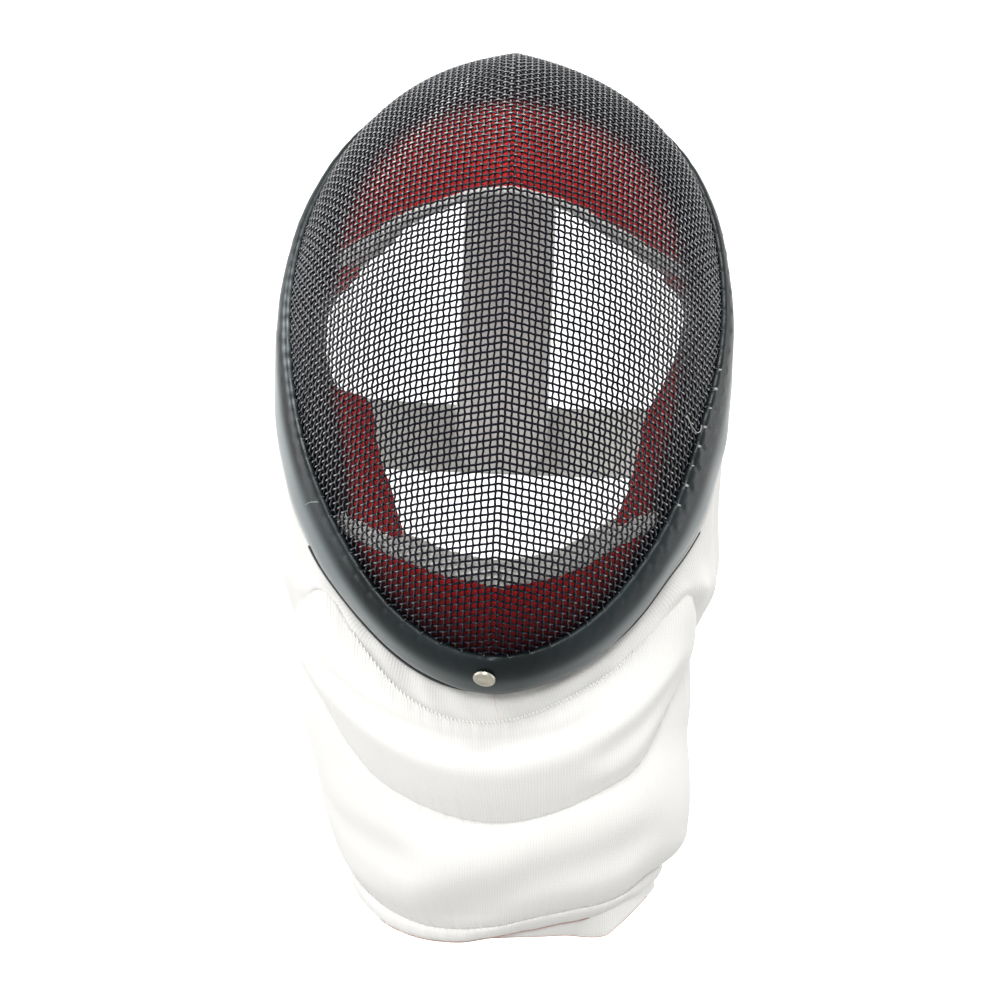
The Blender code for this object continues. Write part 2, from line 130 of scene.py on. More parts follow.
def new_material(name):
    """Material with one Principled shader: itself, its tree, the shader and Object coordinates."""
    material = bpy.data.materials.new(name)
    material.use_nodes = True
    tree = material.node_tree
    tree.nodes.clear()
    shader = add_node(tree, "BsdfPrincipled")
    add_node(tree, "OutputMaterial", Surface=shader)
    return material, tree, shader, add_node(tree, "TexCoord").outputs["Object"]


def grid_quads(rows, columns, close_rows=False, close_columns=False):
    """Corner numbers of the quads of a grid whose points are numbered row by row."""
    r = np.arange(rows if close_rows else rows - 1)[:, None]
    c = np.arange(columns if close_columns else columns - 1)[None, :]
    below, beside = (r + 1) % rows, (c + 1) % columns
    corners = [r * columns + c, r * columns + beside, below * columns + beside, below * columns + c]
    return np.stack([np.broadcast_to(k, np.broadcast(r, c).shape) for k in corners], -1).reshape(-1, 4)


def new_piece(name, points, quads, material, turn_out=True):
    """Object from an array of points and an array of quads, smooth, with its faces outward."""
    mesh = bpy.data.meshes.new(name)
    points = np.ascontiguousarray(points.reshape(-1, 3), dtype=np.float32)
    quads = np.ascontiguousarray(quads, dtype=np.int32)
    mesh.vertices.add(len(points))
    mesh.vertices.foreach_set("co", points.ravel())
    mesh.loops.add(quads.size)
    mesh.loops.foreach_set("vertex_index", quads.ravel())
    mesh.polygons.add(len(quads))
    mesh.polygons.foreach_set("loop_start", np.arange(0, quads.size, 4, dtype=np.int32))
    mesh.update(calc_edges=True)
    if turn_out:
        shell = bmesh.new()
        shell.from_mesh(mesh)
        bmesh.ops.recalc_face_normals(shell, faces=shell.faces)
        shell.to_mesh(mesh)
        shell.free()
    mesh.shade_smooth()
    mesh.materials.append(material)
    item = bpy.data.objects.new(name, mesh)
    bpy.context.scene.collection.objects.link(item)
    return item


camera = bpy.data.objects.new("camera", bpy.data.cameras.new("camera"))
camera.data.lens = LENS_MM
camera.location = CAMERA_PLACE
camera.rotation_euler = (pi / 2.0, -CAMERA_ROLL, 0.0)
bpy.context.scene.collection.objects.link(camera)
bpy.context.scene.camera = camera
bpy.context.scene.view_settings.view_transform = "Standard"

# White paper: matt, its fibres giving it a very slight mottle about 3 mm across.
paper, tree, shader, where = new_material("white_paper_sweep")
mottle = add_node(tree, "TexNoise", Vector=where, Scale=330.0, Detail=3.0)
tone = add_node(tree, "Mix", data_type="RGBA", _0=mottle, _6="#f6f6f5", _7=PAPER_HEX)
fill_inputs(tree, shader, Base_Color=tone, Roughness=0.9, Emission_Color=ROOM_HEX,
            Emission_Strength=PAPER_GLOW)

# The sweep's profile is a floor, a quarter circle and a wall, carried straight across.
arc = np.linspace(0.0, pi / 2.0, 33)
profile_y = np.concatenate([[SWEEP_FRONT_Y], WALL_Y - SWEEP_RADIUS * (1.0 - np.sin(arc)), [WALL_Y]])
profile_z = np.concatenate([[FLOOR_Z], FLOOR_Z + SWEEP_RADIUS * (1.0 - np.cos(arc)), [SWEEP_TOP_Z]])
across = np.linspace(-SWEEP_HALF_WIDTH, SWEEP_HALF_WIDTH, 5)
sweep_x, sweep_y = np.meshgrid(across, profile_y)
sweep_z = np.meshgrid(across, profile_z)[1]
sweep = new_piece("paper_sweep", np.stack([sweep_x, sweep_y, sweep_z], axis=-1),
                  grid_quads(len(profile_y), len(across)), paper, turn_out=False)

world = bpy.data.worlds.new("white_room")
world.use_nodes = True
# The room is white behind the mask and overhead, and dimmer in front of it and below.
direction = add_node(world.node_tree, "TexCoord").outputs["Generated"]
parts = add_node(world.node_tree, "SeparateXYZ", Vector=direction).outputs
towards = add_node(world.node_tree, "Math", operation="MULTIPLY_ADD", _0=parts[2], _1=0.35, _2=parts[1])
glow = add_node(world.node_tree, "MapRange", interpolation_type="SMOOTHSTEP", Value=towards,
                From_Min=-0.50, From_Max=0.55, To_Min=ROOM_FRONT, To_Max=ROOM_BACK)
fill_inputs(world.node_tree, world.node_tree.nodes["Background"], Color=ROOM_HEX, Strength=glow)
bpy.context.scene.world = world

for lamp_name, place, target, lamp_width, lamp_height, watts in LAMPS:
    lamp = bpy.data.objects.new(lamp_name, bpy.data.lights.new(lamp_name, "AREA"))
    lamp.data.shape = "RECTANGLE"
    lamp.data.size = lamp_width
    lamp.data.size_y = lamp_height
    lamp.data.energy = watts
    lamp.location = place
    bpy.context.scene.collection.objects.link(lamp)
    aim = Vector(target) - Vector(place)
    lamp.rotation_euler = aim.to_track_quat("-Z", "Y").to_euler()

# ==== Wire cloth of the bowl ====
# Steel wire 1.0 mm thick, crimped and woven over and under at 3.1 mm, pressed into a bowl with a
# ridge down its middle, then painted black. The knuckles are painted pale grey: partly worn paint,
# partly a painted highlight.
HALF_WIDTH = 0.100
CROWN_HEIGHT = 0.1355
CHIN_HEIGHT = 0.1565
SIDE_DEPTH = 0.080
CROWN_DEPTH = 0.125
CHIN_DEPTH = 0.072
RIDGE_SLOPE = 0.39
RIDGE_ROUND = 0.003
RIDGE_FADE = 0.9
RIDGE_FADE_FROM = radians(65.0)
RIDGE_FADE_OVER = radians(40.0)
LEAN = 0.156
PEAK_DROP = 0.0024
PEAK_REACH = 0.015
WIDEST_Z = -0.116
FRONT_Y = -0.148
# Columns: degrees phi up from the side, how far the rim flares out at the right and at the left.
CHEEK_FLARE = (
    (-90, 0, 0), (-50, 0, 0), (-41, 0.0004, 0.0032), (-35.3, 0.0026, 0.0041), (-30.5, 0.0042, 0.005),
    (-25.3, 0.004, 0.0043), (-20.6, 0.0033, 0.004), (-16, 0.0034, 0.0034), (-11, 0.0011, 0.0014),
    (-5, 0, 0), (90, 0, 0),
)
# The crown's shoulder is fuller at the right, and the rim tucks up under the chin.
CROWN_SHOULDER = 0.0043
CHIN_TUCK = 0.0020
RIM_TURN = 0.30
RIM_PSI_CHIN = 61.0
RIM_PSI_GAIN = 45.0
RIM_PHI_START = -50.0
RIM_PHI_SPAN = 140.0
STEP = 1e-4
POLE_PSI = 0.02
WIRE_PITCH = 0.0031
WIRE_RADIUS = 0.00051
WIRE_CRIMP = 0.00043
WIRE_DEPTH = 0.0010
WIRE_IN_RIM = 0.018
WIRE_SIDES = 6
WIRE_CUTS = 4
WEFT_DROP = 0.018
WEFT_SIDE_DROP = 0.0252
WEFT_SIDE_POWER = 3.4
FIRST_WEFT = -75
LAST_WEFT = 110
LATTICE_SHARE = 0.9985
ARC_FROM = -100.0
ARC_TO = 140.0
ARC_STEPS = 481
WANDER = 0.03
STEADY_FROM = 0.97
# Where and how strongly the knuckles are painted pale, partly wear and partly painted highlight.
RUB_AND_HIGHLIGHT_FROM = radians(28.0)
RUB_AND_HIGHLIGHT_OVER = radians(28.0)
RUB_AND_HIGHLIGHT_EARLY = radians(8.0)
CHIN_DIMMED_REACH = radians(46.0)
WARP_WEAR_AND_HIGHLIGHT = 0.86
LEAST_WEAR_AND_HIGHLIGHT = 0.62
CHIN_WEAR_AND_HIGHLIGHT_CUT = 0.34
CHIN_RUB_AND_HIGHLIGHT_CUT = 0.8
# A line of painted glints down the left of the crown.
GLINT_LINE_X = -0.0275
GLINT_LINE_Z = -0.011
GLINT_LINE_ACROSS = (0.805, -0.594)
GLINT_LINE_REACH = 0.0022
GLINT_LINE_GAIN = 0.24
GLINT_LINE_END_Z = -0.060
GLINT_LINE_FADE = 0.010


def smooth(t):
    """Smoothstep: 0 below 0, 1 above 1 and level at both ends."""
    t = np.clip(t, 0.0, 1.0)
    return t * t * (3.0 - 2.0 * t)


def eased(table, at):
    """Values of a table at the given places of its first column: a cubic through its rows.

    Each span is a Hermite cubic, its slopes at the rows taken from their neighbours.
    """
    table = np.asarray(table)
    slopes = np.gradient(table[:, 1:], table[:, 0], axis=0)
    at = np.clip(at, table[0, 0], table[-1, 0])
    i = np.clip(np.searchsorted(table[:, 0], at) - 1, 0, len(table) - 2)
    span = table[i + 1, 0] - table[i, 0]
    t = ((at - table[i, 0]) / span)[..., None]
    span = span[..., None]
    start, end = table[i, 1:], table[i + 1, 1:]
    value = start * (1 + 2 * t) * (1 - t) ** 2 + end * t**2 * (3 - 2 * t)
    return value + span * (slopes[i] * t * (1 - t) ** 2 - slopes[i + 1] * t**2 * (1 - t))


def bowl(psi, phi):
    """Outer face of the wire: half an ellipsoid, deeper at the crown, folded along the ridge.

    The fold brings the crown to a slight peak and fades out behind it, towards the rim. Behind the
    rim's front edge the cheeks flare out by a table times the share of the rim to the power 1.5.
    """
    across, up = np.cos(phi), np.sin(phi)
    x = HALF_WIDTH * np.sin(psi) * across
    rise = np.where(up > 0.0, CROWN_HEIGHT, CHIN_HEIGHT) * np.sin(psi) * up
    depth = SIDE_DEPTH + (np.where(up > 0.0, CROWN_DEPTH, CHIN_DEPTH) - SIDE_DEPTH) * up**2
    behind = smooth((psi - RIDGE_FADE_FROM) / RIDGE_FADE_OVER) * np.maximum(up, 0.0) ** 2
    fold = RIDGE_SLOPE * (np.hypot(x, RIDGE_ROUND) - RIDGE_ROUND) * (1.0 - RIDGE_FADE * behind)
    y = FRONT_Y + depth * (1.0 - np.cos(psi)) + fold + LEAN * rise
    peak = PEAK_DROP * (1.0 - np.exp(-np.abs(x) / PEAK_REACH)) * np.maximum(up, 0.0) ** 4
    lift = np.degrees(np.arcsin(up))
    flare = eased(CHEEK_FLARE, lift)
    flare = np.where(across > 0.0, flare[..., 0], -flare[..., 1])
    behind_front = np.maximum(psi - rim_front(phi), 0.0) / RIM_TURN
    shoulder = CROWN_SHOULDER * (2.0 * np.maximum(across, 0.0) * np.maximum(up, 0.0)) ** 2.2
    x = x + flare * behind_front**1.5 + shoulder * np.sin(psi) ** 6
    tuck = CHIN_TUCK * smooth((-50.0 - lift) / 25.0) * behind_front**1.5
    return np.stack([x, y, WIDEST_Z + rise - peak * np.sin(psi) + tuck], axis=-1)


def bell(t):
    """Bell curve: the exponential of minus t squared."""
    return np.exp(-t**2)


def turns(sides):
    """Angles of a ring's points, equally spaced."""
    return np.arange(sides) * (2.0 * pi / sides)


def unit(vectors):
    """Each vector divided by its length."""
    return vectors / np.linalg.norm(vectors, axis=-1, keepdims=True)


def run_length(points):
    """Length run along a row of points up to each of them."""
    return np.concatenate([[0.0], np.cumsum(np.linalg.norm(np.diff(points, axis=0), axis=-1))])


def frames(path, outward):
    """Two directions square to a path: across it, and outward at right angles to both."""
    along = unit(np.gradient(path, axis=-2))
    across = unit(np.cross(along, outward))
    return across, np.cross(across, along)


def rings(path, radius, across, outward, sides):
    """Rings round a path: each point plus the radius times cos(t) across and sin(t) outward."""
    turn = turns(sides)[:, None]
    spokes = np.cos(turn) * across[..., None, :] + np.sin(turn) * outward[..., None, :]
    return path[..., None, :] + radius * spokes


def mark_points(item, name, values):
    """Gives each point of a piece a number, which its material reads by the name."""
    mark = item.data.attributes.new(name, "FLOAT", "POINT")
    mark.data.foreach_set("value", np.ascontiguousarray(values.ravel(), dtype=np.float32))


def bowl_normal(psi, phi):
    """Outward direction of the bowl, from the cross product of its two slopes."""
    psi = np.maximum(psi, POLE_PSI)
    along = bowl(psi + STEP, phi) - bowl(psi - STEP, phi)
    around = bowl(psi, phi + STEP) - bowl(psi, phi - STEP)
    return unit(np.cross(along, around))


def layer(psi, phi, height):
    """Point at a height over the wire's outer face, below it where the height is negative."""
    psi, phi, height = np.broadcast_arrays(psi, phi, height)
    return bowl(psi, phi) + bowl_normal(psi, phi) * height[..., None]


def speed(psi, phi):
    """Metres travelled per radian of psi."""
    return np.linalg.norm(bowl(psi + STEP, phi) - bowl(psi - STEP, phi), axis=-1) / (2.0 * STEP)


def rim_front(phi):
    """Angle psi of the rim's front edge: forward round the chin, far back over the crown."""
    lift = np.degrees(np.arcsin(np.sin(phi)))
    return np.radians(RIM_PSI_CHIN + RIM_PSI_GAIN * smooth((lift - RIM_PHI_START) / RIM_PHI_SPAN))


def rim_psi(setback, phi):
    """Angle psi at a distance behind the rim's front edge."""
    front = rim_front(phi)
    middle = front + 0.5 * setback / speed(front, phi)
    return front + setback / speed(middle, phi)


def lattice_angles(x, up):
    """psi and phi of the point at a sideways place x and at an angle up round that slice.

    The slice at x is an arc of radius R = sqrt(1 - (x / half-width)^2), so that
    cos psi = R cos(up) and sin psi sin phi = R sin(up).
    """
    across = x / HALF_WIDTH
    radius = np.sqrt(1.0 - across**2)
    return np.arccos(radius * np.cos(up)), np.arctan2(radius * np.sin(up), across)


def wires(points, across, outward, inside):
    """Round tubes along the rows of an array of points, wherever they lie inside the rim.

    A ring is kept where two neighbours are inside, and each run is closed by two quads at both ends.
    """
    around = rings(points, WIRE_RADIUS, across, outward, WIRE_SIDES)
    rows, columns = inside.shape
    start = (np.arange(rows)[:, None] * columns + np.arange(columns)[None, :]) * WIRE_SIDES
    joined = inside[:, :-1] & inside[:, 1:]
    here, there = start[:, :-1][joined][:, None], start[:, 1:][joined][:, None]
    side = np.arange(WIRE_SIDES)[None, :]
    beside = (side + 1) % WIRE_SIDES
    quads = np.stack([here + side, here + beside, there + beside, there + side], -1).reshape(-1, 4)
    before = np.pad(joined, ((0, 0), (1, 0)))
    after = np.pad(joined, ((0, 0), (0, 1)))
    first, last = start[after & ~before][:, None], start[before & ~after][:, None]
    caps = [first + [3, 2, 1, 0], first + [5, 4, 3, 0], last + [0, 1, 2, 3], last + [0, 3, 4, 5]]
    quads = np.concatenate([quads, *caps])[:, ::-1]
    used, quads = np.unique(quads, return_inverse=True)
    return around.reshape(-1, 3)[used], quads.reshape(-1, 4), used


# Painted steel wire: black enamel, a little glossy, so each knuckle holds a small soft highlight.
# The outward crest of each knuckle is painted pale grey, partly enamel worn thin over grey steel and
# partly a painted highlight. It comes and goes over about 25 mm.
wire_paint, tree, shader, where = new_material("black_enamelled_steel_wire")
knuckle_wear_and_highlight = add_node(tree, "Attribute", attribute_name="knuckle_wear_and_highlight")
patches = add_node(tree, "TexNoise", Vector=where, Scale=40.0, Detail=2.0)
specks = add_node(tree, "TexNoise", Vector=where, Scale=900.0, Detail=2.0)
both = add_node(tree, "Math", operation="ADD", _0=patches, _1=specks)
reach = add_node(tree, "MapRange", Value=both, From_Min=0.50, From_Max=1.05)
bare_and_highlit = add_node(tree, "MapRange", Value=knuckle_wear_and_highlight, From_Min=0.50, From_Max=0.92)
worn = add_node(tree, "Math", operation="MULTIPLY", _0=bare_and_highlit, _1=reach)
tone = add_node(tree, "Mix", data_type="RGBA", _0=worn, _6="#0f111b", _7="#c9cbc9")
rough = add_node(tree, "MapRange", Value=specks, From_Min=0.3, From_Max=0.7, To_Min=0.24, To_Max=0.36)
grain = add_node(tree, "Bump", Height=specks, Strength=0.15, Distance=0.0001)
rubbed_and_highlit = add_node(tree, "Attribute", attribute_name="rubbed_and_highlit")
gloss = add_node(tree, "Math", operation="MULTIPLY_ADD", _0=rubbed_and_highlit, _1=0.62, _2=0.06)
fill_inputs(tree, shader, Base_Color=tone, Roughness=rough, IOR=1.5, Specular_IOR_Level=gloss,
            Normal=grain)

# Slices across the bowl a quarter of the pitch apart, measured along the wire at the widest level.
fine_x = np.linspace(0.0, HALF_WIDTH * LATTICE_SHARE, 4000)
level = bowl(*lattice_angles(fine_x, np.zeros_like(fine_x)))
walked = run_length(level)
cuts = np.arange(int(walked[-1] / WIRE_PITCH * WIRE_CUTS) + 1) / WIRE_CUTS
half_u = np.concatenate([-cuts[:0:-1], cuts])
slice_x = np.sign(half_u) * np.interp(np.abs(half_u) * WIRE_PITCH, walked, fine_x)

# Along each slice, the angle up at every quarter of the pitch, from the arc's running length.
table_up = np.radians(np.linspace(ARC_FROM, ARC_TO, ARC_STEPS))
table = bowl(*lattice_angles(slice_x[:, None], table_up[None, :]))
run = np.cumsum(np.linalg.norm(np.diff(table, axis=1), axis=-1), axis=1)
run = np.pad(run, ((0, 0), (1, 0)))
middle = np.argmin(np.abs(table_up))
run = run - run[:, middle:middle + 1]
share_x = np.abs(slice_x) / HALF_WIDTH
weft_fall = WEFT_DROP * share_x + WEFT_SIDE_DROP * share_x**WEFT_SIDE_POWER
half_v = np.arange(FIRST_WEFT * WIRE_CUTS, LAST_WEFT * WIRE_CUTS + 1) / WIRE_CUTS
reach_v = half_v[None, :] * WIRE_PITCH - weft_fall[:, None]
# A slow wander of each wire along its length, a few hundredths of the pitch.
u_grid, v_grid = np.meshgrid(half_u, half_v, indexing="ij")
reach_v = reach_v + WANDER * WIRE_PITCH * np.sin(0.21 * u_grid + 2.4 * np.sin(1.9 * v_grid))
up = np.stack([np.interp(reach_v[i], run[i], table_up) for i in range(len(slice_x))])
drift = WANDER * WIRE_PITCH * np.sin(0.17 * v_grid + 2.1 * np.sin(2.3 * u_grid))
edge_room = np.clip(1.0 - np.abs(slice_x) / (HALF_WIDTH * STEADY_FROM), 0.0, 0.1)[:, None] * 10.0
wire_x = slice_x[:, None] + drift * edge_room
psi, phi = lattice_angles(wire_x, up)
inside = psi < rim_psi(WIRE_IN_RIM, phi)
normal = bowl_normal(psi, phi)
base = bowl(psi, phi) - normal * WIRE_DEPTH

# Warps run up and down at every half pitch from the ridge, wefts across at every whole pitch.
warp_rows = np.flatnonzero(np.isclose((half_u - 0.5) % 1.0, 0.0))
weft_columns = np.flatnonzero(np.isclose(half_v % 1.0, 0.0))
warp_number = np.round(half_u[warp_rows] - 0.5)[:, None]
weft_number = np.round(half_v[weft_columns])[None, :]
warp_crimp = np.cos(pi * (half_v[None, :] + warp_number))
weft_crimp = -np.cos(pi * (half_u[:, None] - 0.5 + weft_number))

warp_path = base[warp_rows] + normal[warp_rows] * (WIRE_CRIMP * warp_crimp)[..., None]
weft_path = (base[:, weft_columns] + normal[:, weft_columns] * (WIRE_CRIMP * weft_crimp)[..., None])
weft_path = weft_path.transpose(1, 0, 2)

# Only the outward side of each knuckle is paled, where its painted highlight sits.
proud = np.maximum(np.sin(turns(WIRE_SIDES)), 0.0)
# The crown and the sides are glossier and their knuckles paler, partly from rubbing and partly as
# painted highlight, and the middle of the face stays black. The wefts lie a little prouder than the
# warps, and their knuckles are painted paler.
rubbed_and_highlit = smooth((psi - RUB_AND_HIGHLIGHT_FROM + RUB_AND_HIGHLIGHT_EARLY * np.maximum(np.sin(phi), 0.0)) / RUB_AND_HIGHLIGHT_OVER)
# The chin is hit least, and its knuckles are kept darker and less glossy, with less painted highlight.
chin_spared_and_dimmed = rubbed_and_highlit * bell((phi + pi / 2.0) / CHIN_DIMMED_REACH)
wear_and_highlight = LEAST_WEAR_AND_HIGHLIGHT + (1.0 - LEAST_WEAR_AND_HIGHLIGHT) * rubbed_and_highlit - CHIN_WEAR_AND_HIGHLIGHT_CUT * chin_spared_and_dimmed
rubbed_and_highlit = rubbed_and_highlit - CHIN_RUB_AND_HIGHLIGHT_CUT * chin_spared_and_dimmed
# A line of painted glints runs down the left of the crown: its knuckles are painted brighter.
glint_line = ((base[..., 0] - GLINT_LINE_X) * GLINT_LINE_ACROSS[0] + (base[..., 2] - GLINT_LINE_Z) * GLINT_LINE_ACROSS[1])
wear_and_highlight = wear_and_highlight + GLINT_LINE_GAIN * bell(glint_line / GLINT_LINE_REACH) * smooth((base[..., 2] - GLINT_LINE_END_Z) / GLINT_LINE_FADE)
warps = (half_u[warp_rows], warp_path, *frames(warp_path, normal[warp_rows]), inside[warp_rows],
         WARP_WEAR_AND_HIGHLIGHT * warp_crimp * wear_and_highlight[warp_rows], rubbed_and_highlit[warp_rows])
wefts = (weft_number[0], weft_path,
         *frames(weft_path, normal[:, weft_columns].transpose(1, 0, 2)), inside[:, weft_columns].T,
         (weft_crimp * wear_and_highlight[:, weft_columns]).T, rubbed_and_highlit[:, weft_columns].T)
# Columns: name, wires, number of its first wire, number that its last wire stays under.
WIRE_GROUPS = (
    ("wire_warps_left", warps, -99, -11),
    ("wire_warps_middle", warps, -11, 11),
    ("wire_warps_right", warps, 11, 99),
    ("wire_wefts_upper", wefts, 22, 199),
    ("wire_wefts_middle", wefts, 6, 22),
    ("wire_wefts_lower", wefts, -99, 6),
)
for piece_name, (number, path, across, outward, within, crimp, rub), first, end in WIRE_GROUPS:
    rows = np.flatnonzero((number >= first) & (number < end))
    points, quads, used = wires(path[rows], across[rows], outward[rows], within[rows])
    piece = new_piece(piece_name, points, quads, wire_paint, turn_out=False)
    height = np.maximum(crimp[rows], 0.0)[..., None] * proud[None, None, :]
    mark_points(piece, "knuckle_wear_and_highlight", height.ravel()[used])
    mark_points(piece, "rubbed_and_highlit", np.repeat(rub[rows].ravel(), WIRE_SIDES)[used])
    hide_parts("wire_mesh")
    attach(piece, "root")

# ==== Rim ====
# A strip of black rubber 28 mm deep, folded over the edge of the wire and sewn through every
# 10 mm with black thread. Each stitch pulls its edge into a dimple, and a thin lip runs behind.
RIM_END = 0.028
# Columns: distance back from the rim's front edge, height over the outer face of the wire.
RIM_OUTSIDE = (
    (0, -0.0002), (0, 0.0012), (0.0009, 0.0026), (0.004, 0.0038), (0.011, 0.0046), (0.019, 0.0043),
    (0.0232, 0.0034), (0.0252, 0.0025), (0.0258, 0.0015), (0.0264, 0.0017), (0.0272, 0.0013),
    (0.0278, 0.0002), (0.028, -0.0012), (0.0273, -0.0034), (0.0245, -0.0046), (0.015, -0.0048),
    (0.01, -0.0043), (0.0094, -0.0034),
)
# The inside of the fold, straight between its corners.
RIM_SLOT = ((0.0094, -0.0027), (0.0206, -0.0027), (0.0206, -0.0002))
RIM_COLUMNS = 720
RIM_CUTS = 4
RIM_ADVANCE = 0.0064
RIM_ADVANCE_AT = radians(-14.5)
RIM_ADVANCE_OVER = radians(14.0)
STITCH_PITCH = 0.0100
STITCH_SHIFT = 0.0035
STITCH_SETBACK = 0.0026
STITCH_TOP = 0.0019
STITCH_FALL = 0.0022
STITCH_LEAN = 0.010
DIMPLE_DEPTH = 0.0002
DIMPLE_DEPTH_RIGHT = 0.0006
DIMPLES_AT = radians(-12.0)
DIMPLES_OVER = radians(28.0)
DIMPLE_REACH = 0.0014
EDGE_PULL = 0.0005
EDGE_PULL_REACH = 0.002
RISE_BEHIND = 0.0026
ADVANCE_FADE = 0.024
# Where the rim's outer band carries its painted sheen and glossy coat.
SHEEN_CHIN_REACH = radians(24.0)
SHEEN_FROM = 0.007
SHEEN_SLANT = 0.0018
SHEEN_OVER = 0.009
SHEEN_END = 0.0215
SHEEN_END_OVER = 0.003
LEFT_GLINT_REACH = radians(16.0)
LEFT_GLINT_PITCH = 0.0068
EDGE_GLINT_AT = 0.0006
EDGE_GLINT_REACH = 0.0012
THREAD_RADIUS = 0.00030
KNOT_RADIUS = 0.00062
KNOT_SETBACK = 0.0011
KNOT_LENGTH = 0.0014
KNOT_HEIGHT = 0.0017
KNOTS_FROM = radians(-33.0)
KNOTS_TO = radians(-3.0)
THREAD_SIDES = 6
THREAD_POINTS = 9
THREAD_END_AT = radians(-147.4)
THREAD_END_RADIUS = 0.00017
LOOSE_RADIUS = 0.00022
CORD_STEPS = 420
CORD_SETBACK = 0.0272
CORD_LIFT = 0.0023
CORD_RADIUS = 0.00055
CORD_SIDES = 8
CORD_FROM = -142.0
CORD_TO = -31.8
CORD_RISE = 0.0012
CORD_DIP = 0.0034
CORD_SLACK = 0.0014
CORD_THINS = 0.4
CORD_THINS_OVER = 0.4
CORD_LOOSE_AT = radians(-38.0)
CORD_LOOSE_OVER = radians(12.0)
CORD_RISES_AT = radians(-110.0)
CORD_DIPS_AT = radians(-78.0)
CORD_DIPS_OVER = radians(13.0)
# Columns: share of the loose thread's length, phi and psi of its line over the wire.
LOOSE_THREAD = (
    (0, -14.3, 54.9), (0.2, -15.2, 55.9), (0.4, -16.2, 58.1), (0.6, -16.5, 60.6), (0.8, -15.8, 62.8),
    (1, -14.5, 63.8),
)


def through(points, cuts):
    """Catmull-Rom curve through a row of points: each span is cut where t = 0 to 1 in the cubic

    0.5 (2 p1 + (p2 - p0) t + (2 p0 - 5 p1 + 4 p2 - p3) t^2 + (3 p1 - p0 - 3 p2 + p3) t^3).
    """
    points = np.asarray(points, dtype=float)
    ends = np.concatenate([[2 * points[0] - points[1]], points, [2 * points[-1] - points[-2]]])
    p0, p1, p2, p3 = (ends[i:len(ends) - 3 + i][:, None] for i in range(4))
    t = (np.arange(cuts) / cuts)[None, :, None]
    body = 0.5 * (2 * p1 + (p2 - p0) * t + (2 * p0 - 5 * p1 + 4 * p2 - p3) * t**2
                  + (3 * p1 - p0 - 3 * p2 + p3) * t**3)
    return np.concatenate([body.reshape(-1, points.shape[1]), points[-1:]])


def ripple(a, b, waves):
    """Sum of sine waves over a surface: amplitude times sin(p a + q b + shift) for each."""
    return sum(height * np.sin(p * a + q * b + shift) for height, p, q, shift in waves)


def capped(steps, sides):
    """Quads of a tube of rings, and the strips of quads that close its first ring and its last."""
    near = np.arange(sides // 2 - 1)
    cap = np.stack([near, near + 1, sides - 2 - near, sides - 1 - near], axis=-1)
    return np.concatenate([grid_quads(steps, sides, False, True), cap, cap + (steps - 1) * sides])


def tubes(paths, radius, across, outward, sides):
    """Closed round tubes, one along each path, narrowing to a rounded end at their last points."""
    count, steps = paths.shape[:2]
    taper = np.ones((steps, 1, 1))
    taper[0] = taper[-1] = 0.35
    points = rings(paths, radius * taper, across, outward, sides)
    starts = (np.arange(count) * steps * sides)[:, None, None]
    return points.reshape(-1, 3), (capped(steps, sides)[None] + starts).reshape(-1, 4)


def rim_advance(phi):
    """How far the strip has been folded further forward over the wire, low down at the right."""
    return RIM_ADVANCE * bell((phi - RIM_ADVANCE_AT) / RIM_ADVANCE_OVER)


def rim_thread(name, path, outward, radius, material, sides=THREAD_SIDES):
    """Piece of one or more lengths of thread on the rim."""
    points, quads = tubes(path, radius, *frames(path, outward), sides)
    piece = new_piece(name, points, quads, material)
    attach(piece, "root")


def thread_material(name, dark, light, roughness, scale, detail, relief=0.0, reach=0.0001):
    """Thread whose colour runs between two with a noise, and whose ply is a bump of that noise."""
    material, tree, shader, where = new_material(name)
    twist = add_node(tree, "TexNoise", Vector=where, Scale=scale, Detail=detail)
    tone = add_node(tree, "Mix", data_type="RGBA", _0=twist, _6=dark, _7=light)
    fill_inputs(tree, shader, Base_Color=tone, Roughness=roughness)
    if relief:
        grain = add_node(tree, "Bump", Height=twist, Strength=relief, Distance=reach)
        fill_inputs(tree, shader, Normal=grain)
    return material


# Black rubber strip: moulded, half matt, with a leather-like grain 0.7 to 1.1 mm across and a
# bloom that greys it in patches. Its outer half has a glossy coat, and is painted lighter as a
# painted sheen.
rubber, tree, shader, where = new_material("black_moulded_rubber")
bloom = add_node(tree, "TexNoise", Vector=where, Scale=22.0, Detail=4.0, Roughness=0.55)
pores = add_node(tree, "TexNoise", Vector=where, Scale=1400.0, Detail=3.0)
cells = add_node(tree, "TexVoronoi", Vector=where, Scale=900.0)
faded = add_node(tree, "MapRange", Value=bloom, From_Min=0.42, From_Max=0.68)
tone = add_node(tree, "Mix", data_type="RGBA", _0=faded, _6="#091113", _7="#172124")
# Painted sheen: the outer band is painted lighter.
polish_and_painted_sheen = add_node(tree, "Attribute", attribute_name="polish_and_painted_sheen")
tone = add_node(tree, "Mix", data_type="RGBA", _0=polish_and_painted_sheen, _6=tone, _7="#4a5658")
rough = add_node(tree, "MapRange", Value=bloom, From_Min=0.35, From_Max=0.7, To_Min=0.30, To_Max=0.44)
relief = add_node(tree, "Math", operation="ADD", _0=cells, _1=pores)
grain = add_node(tree, "Bump", Height=relief, Strength=0.12, Distance=0.0003)
gloss = add_node(tree, "Math", operation="MULTIPLY_ADD", _0=polish_and_painted_sheen, _1=0.2, _2=0.26)
coat = add_node(tree, "Math", operation="MULTIPLY", _0=polish_and_painted_sheen, _1=0.5)
fill_inputs(tree, shader, Base_Color=tone, Roughness=rough, IOR=1.5, Specular_IOR_Level=gloss,
            Coat_Weight=coat, Coat_Roughness=0.34, Coat_IOR=1.7, Normal=grain)

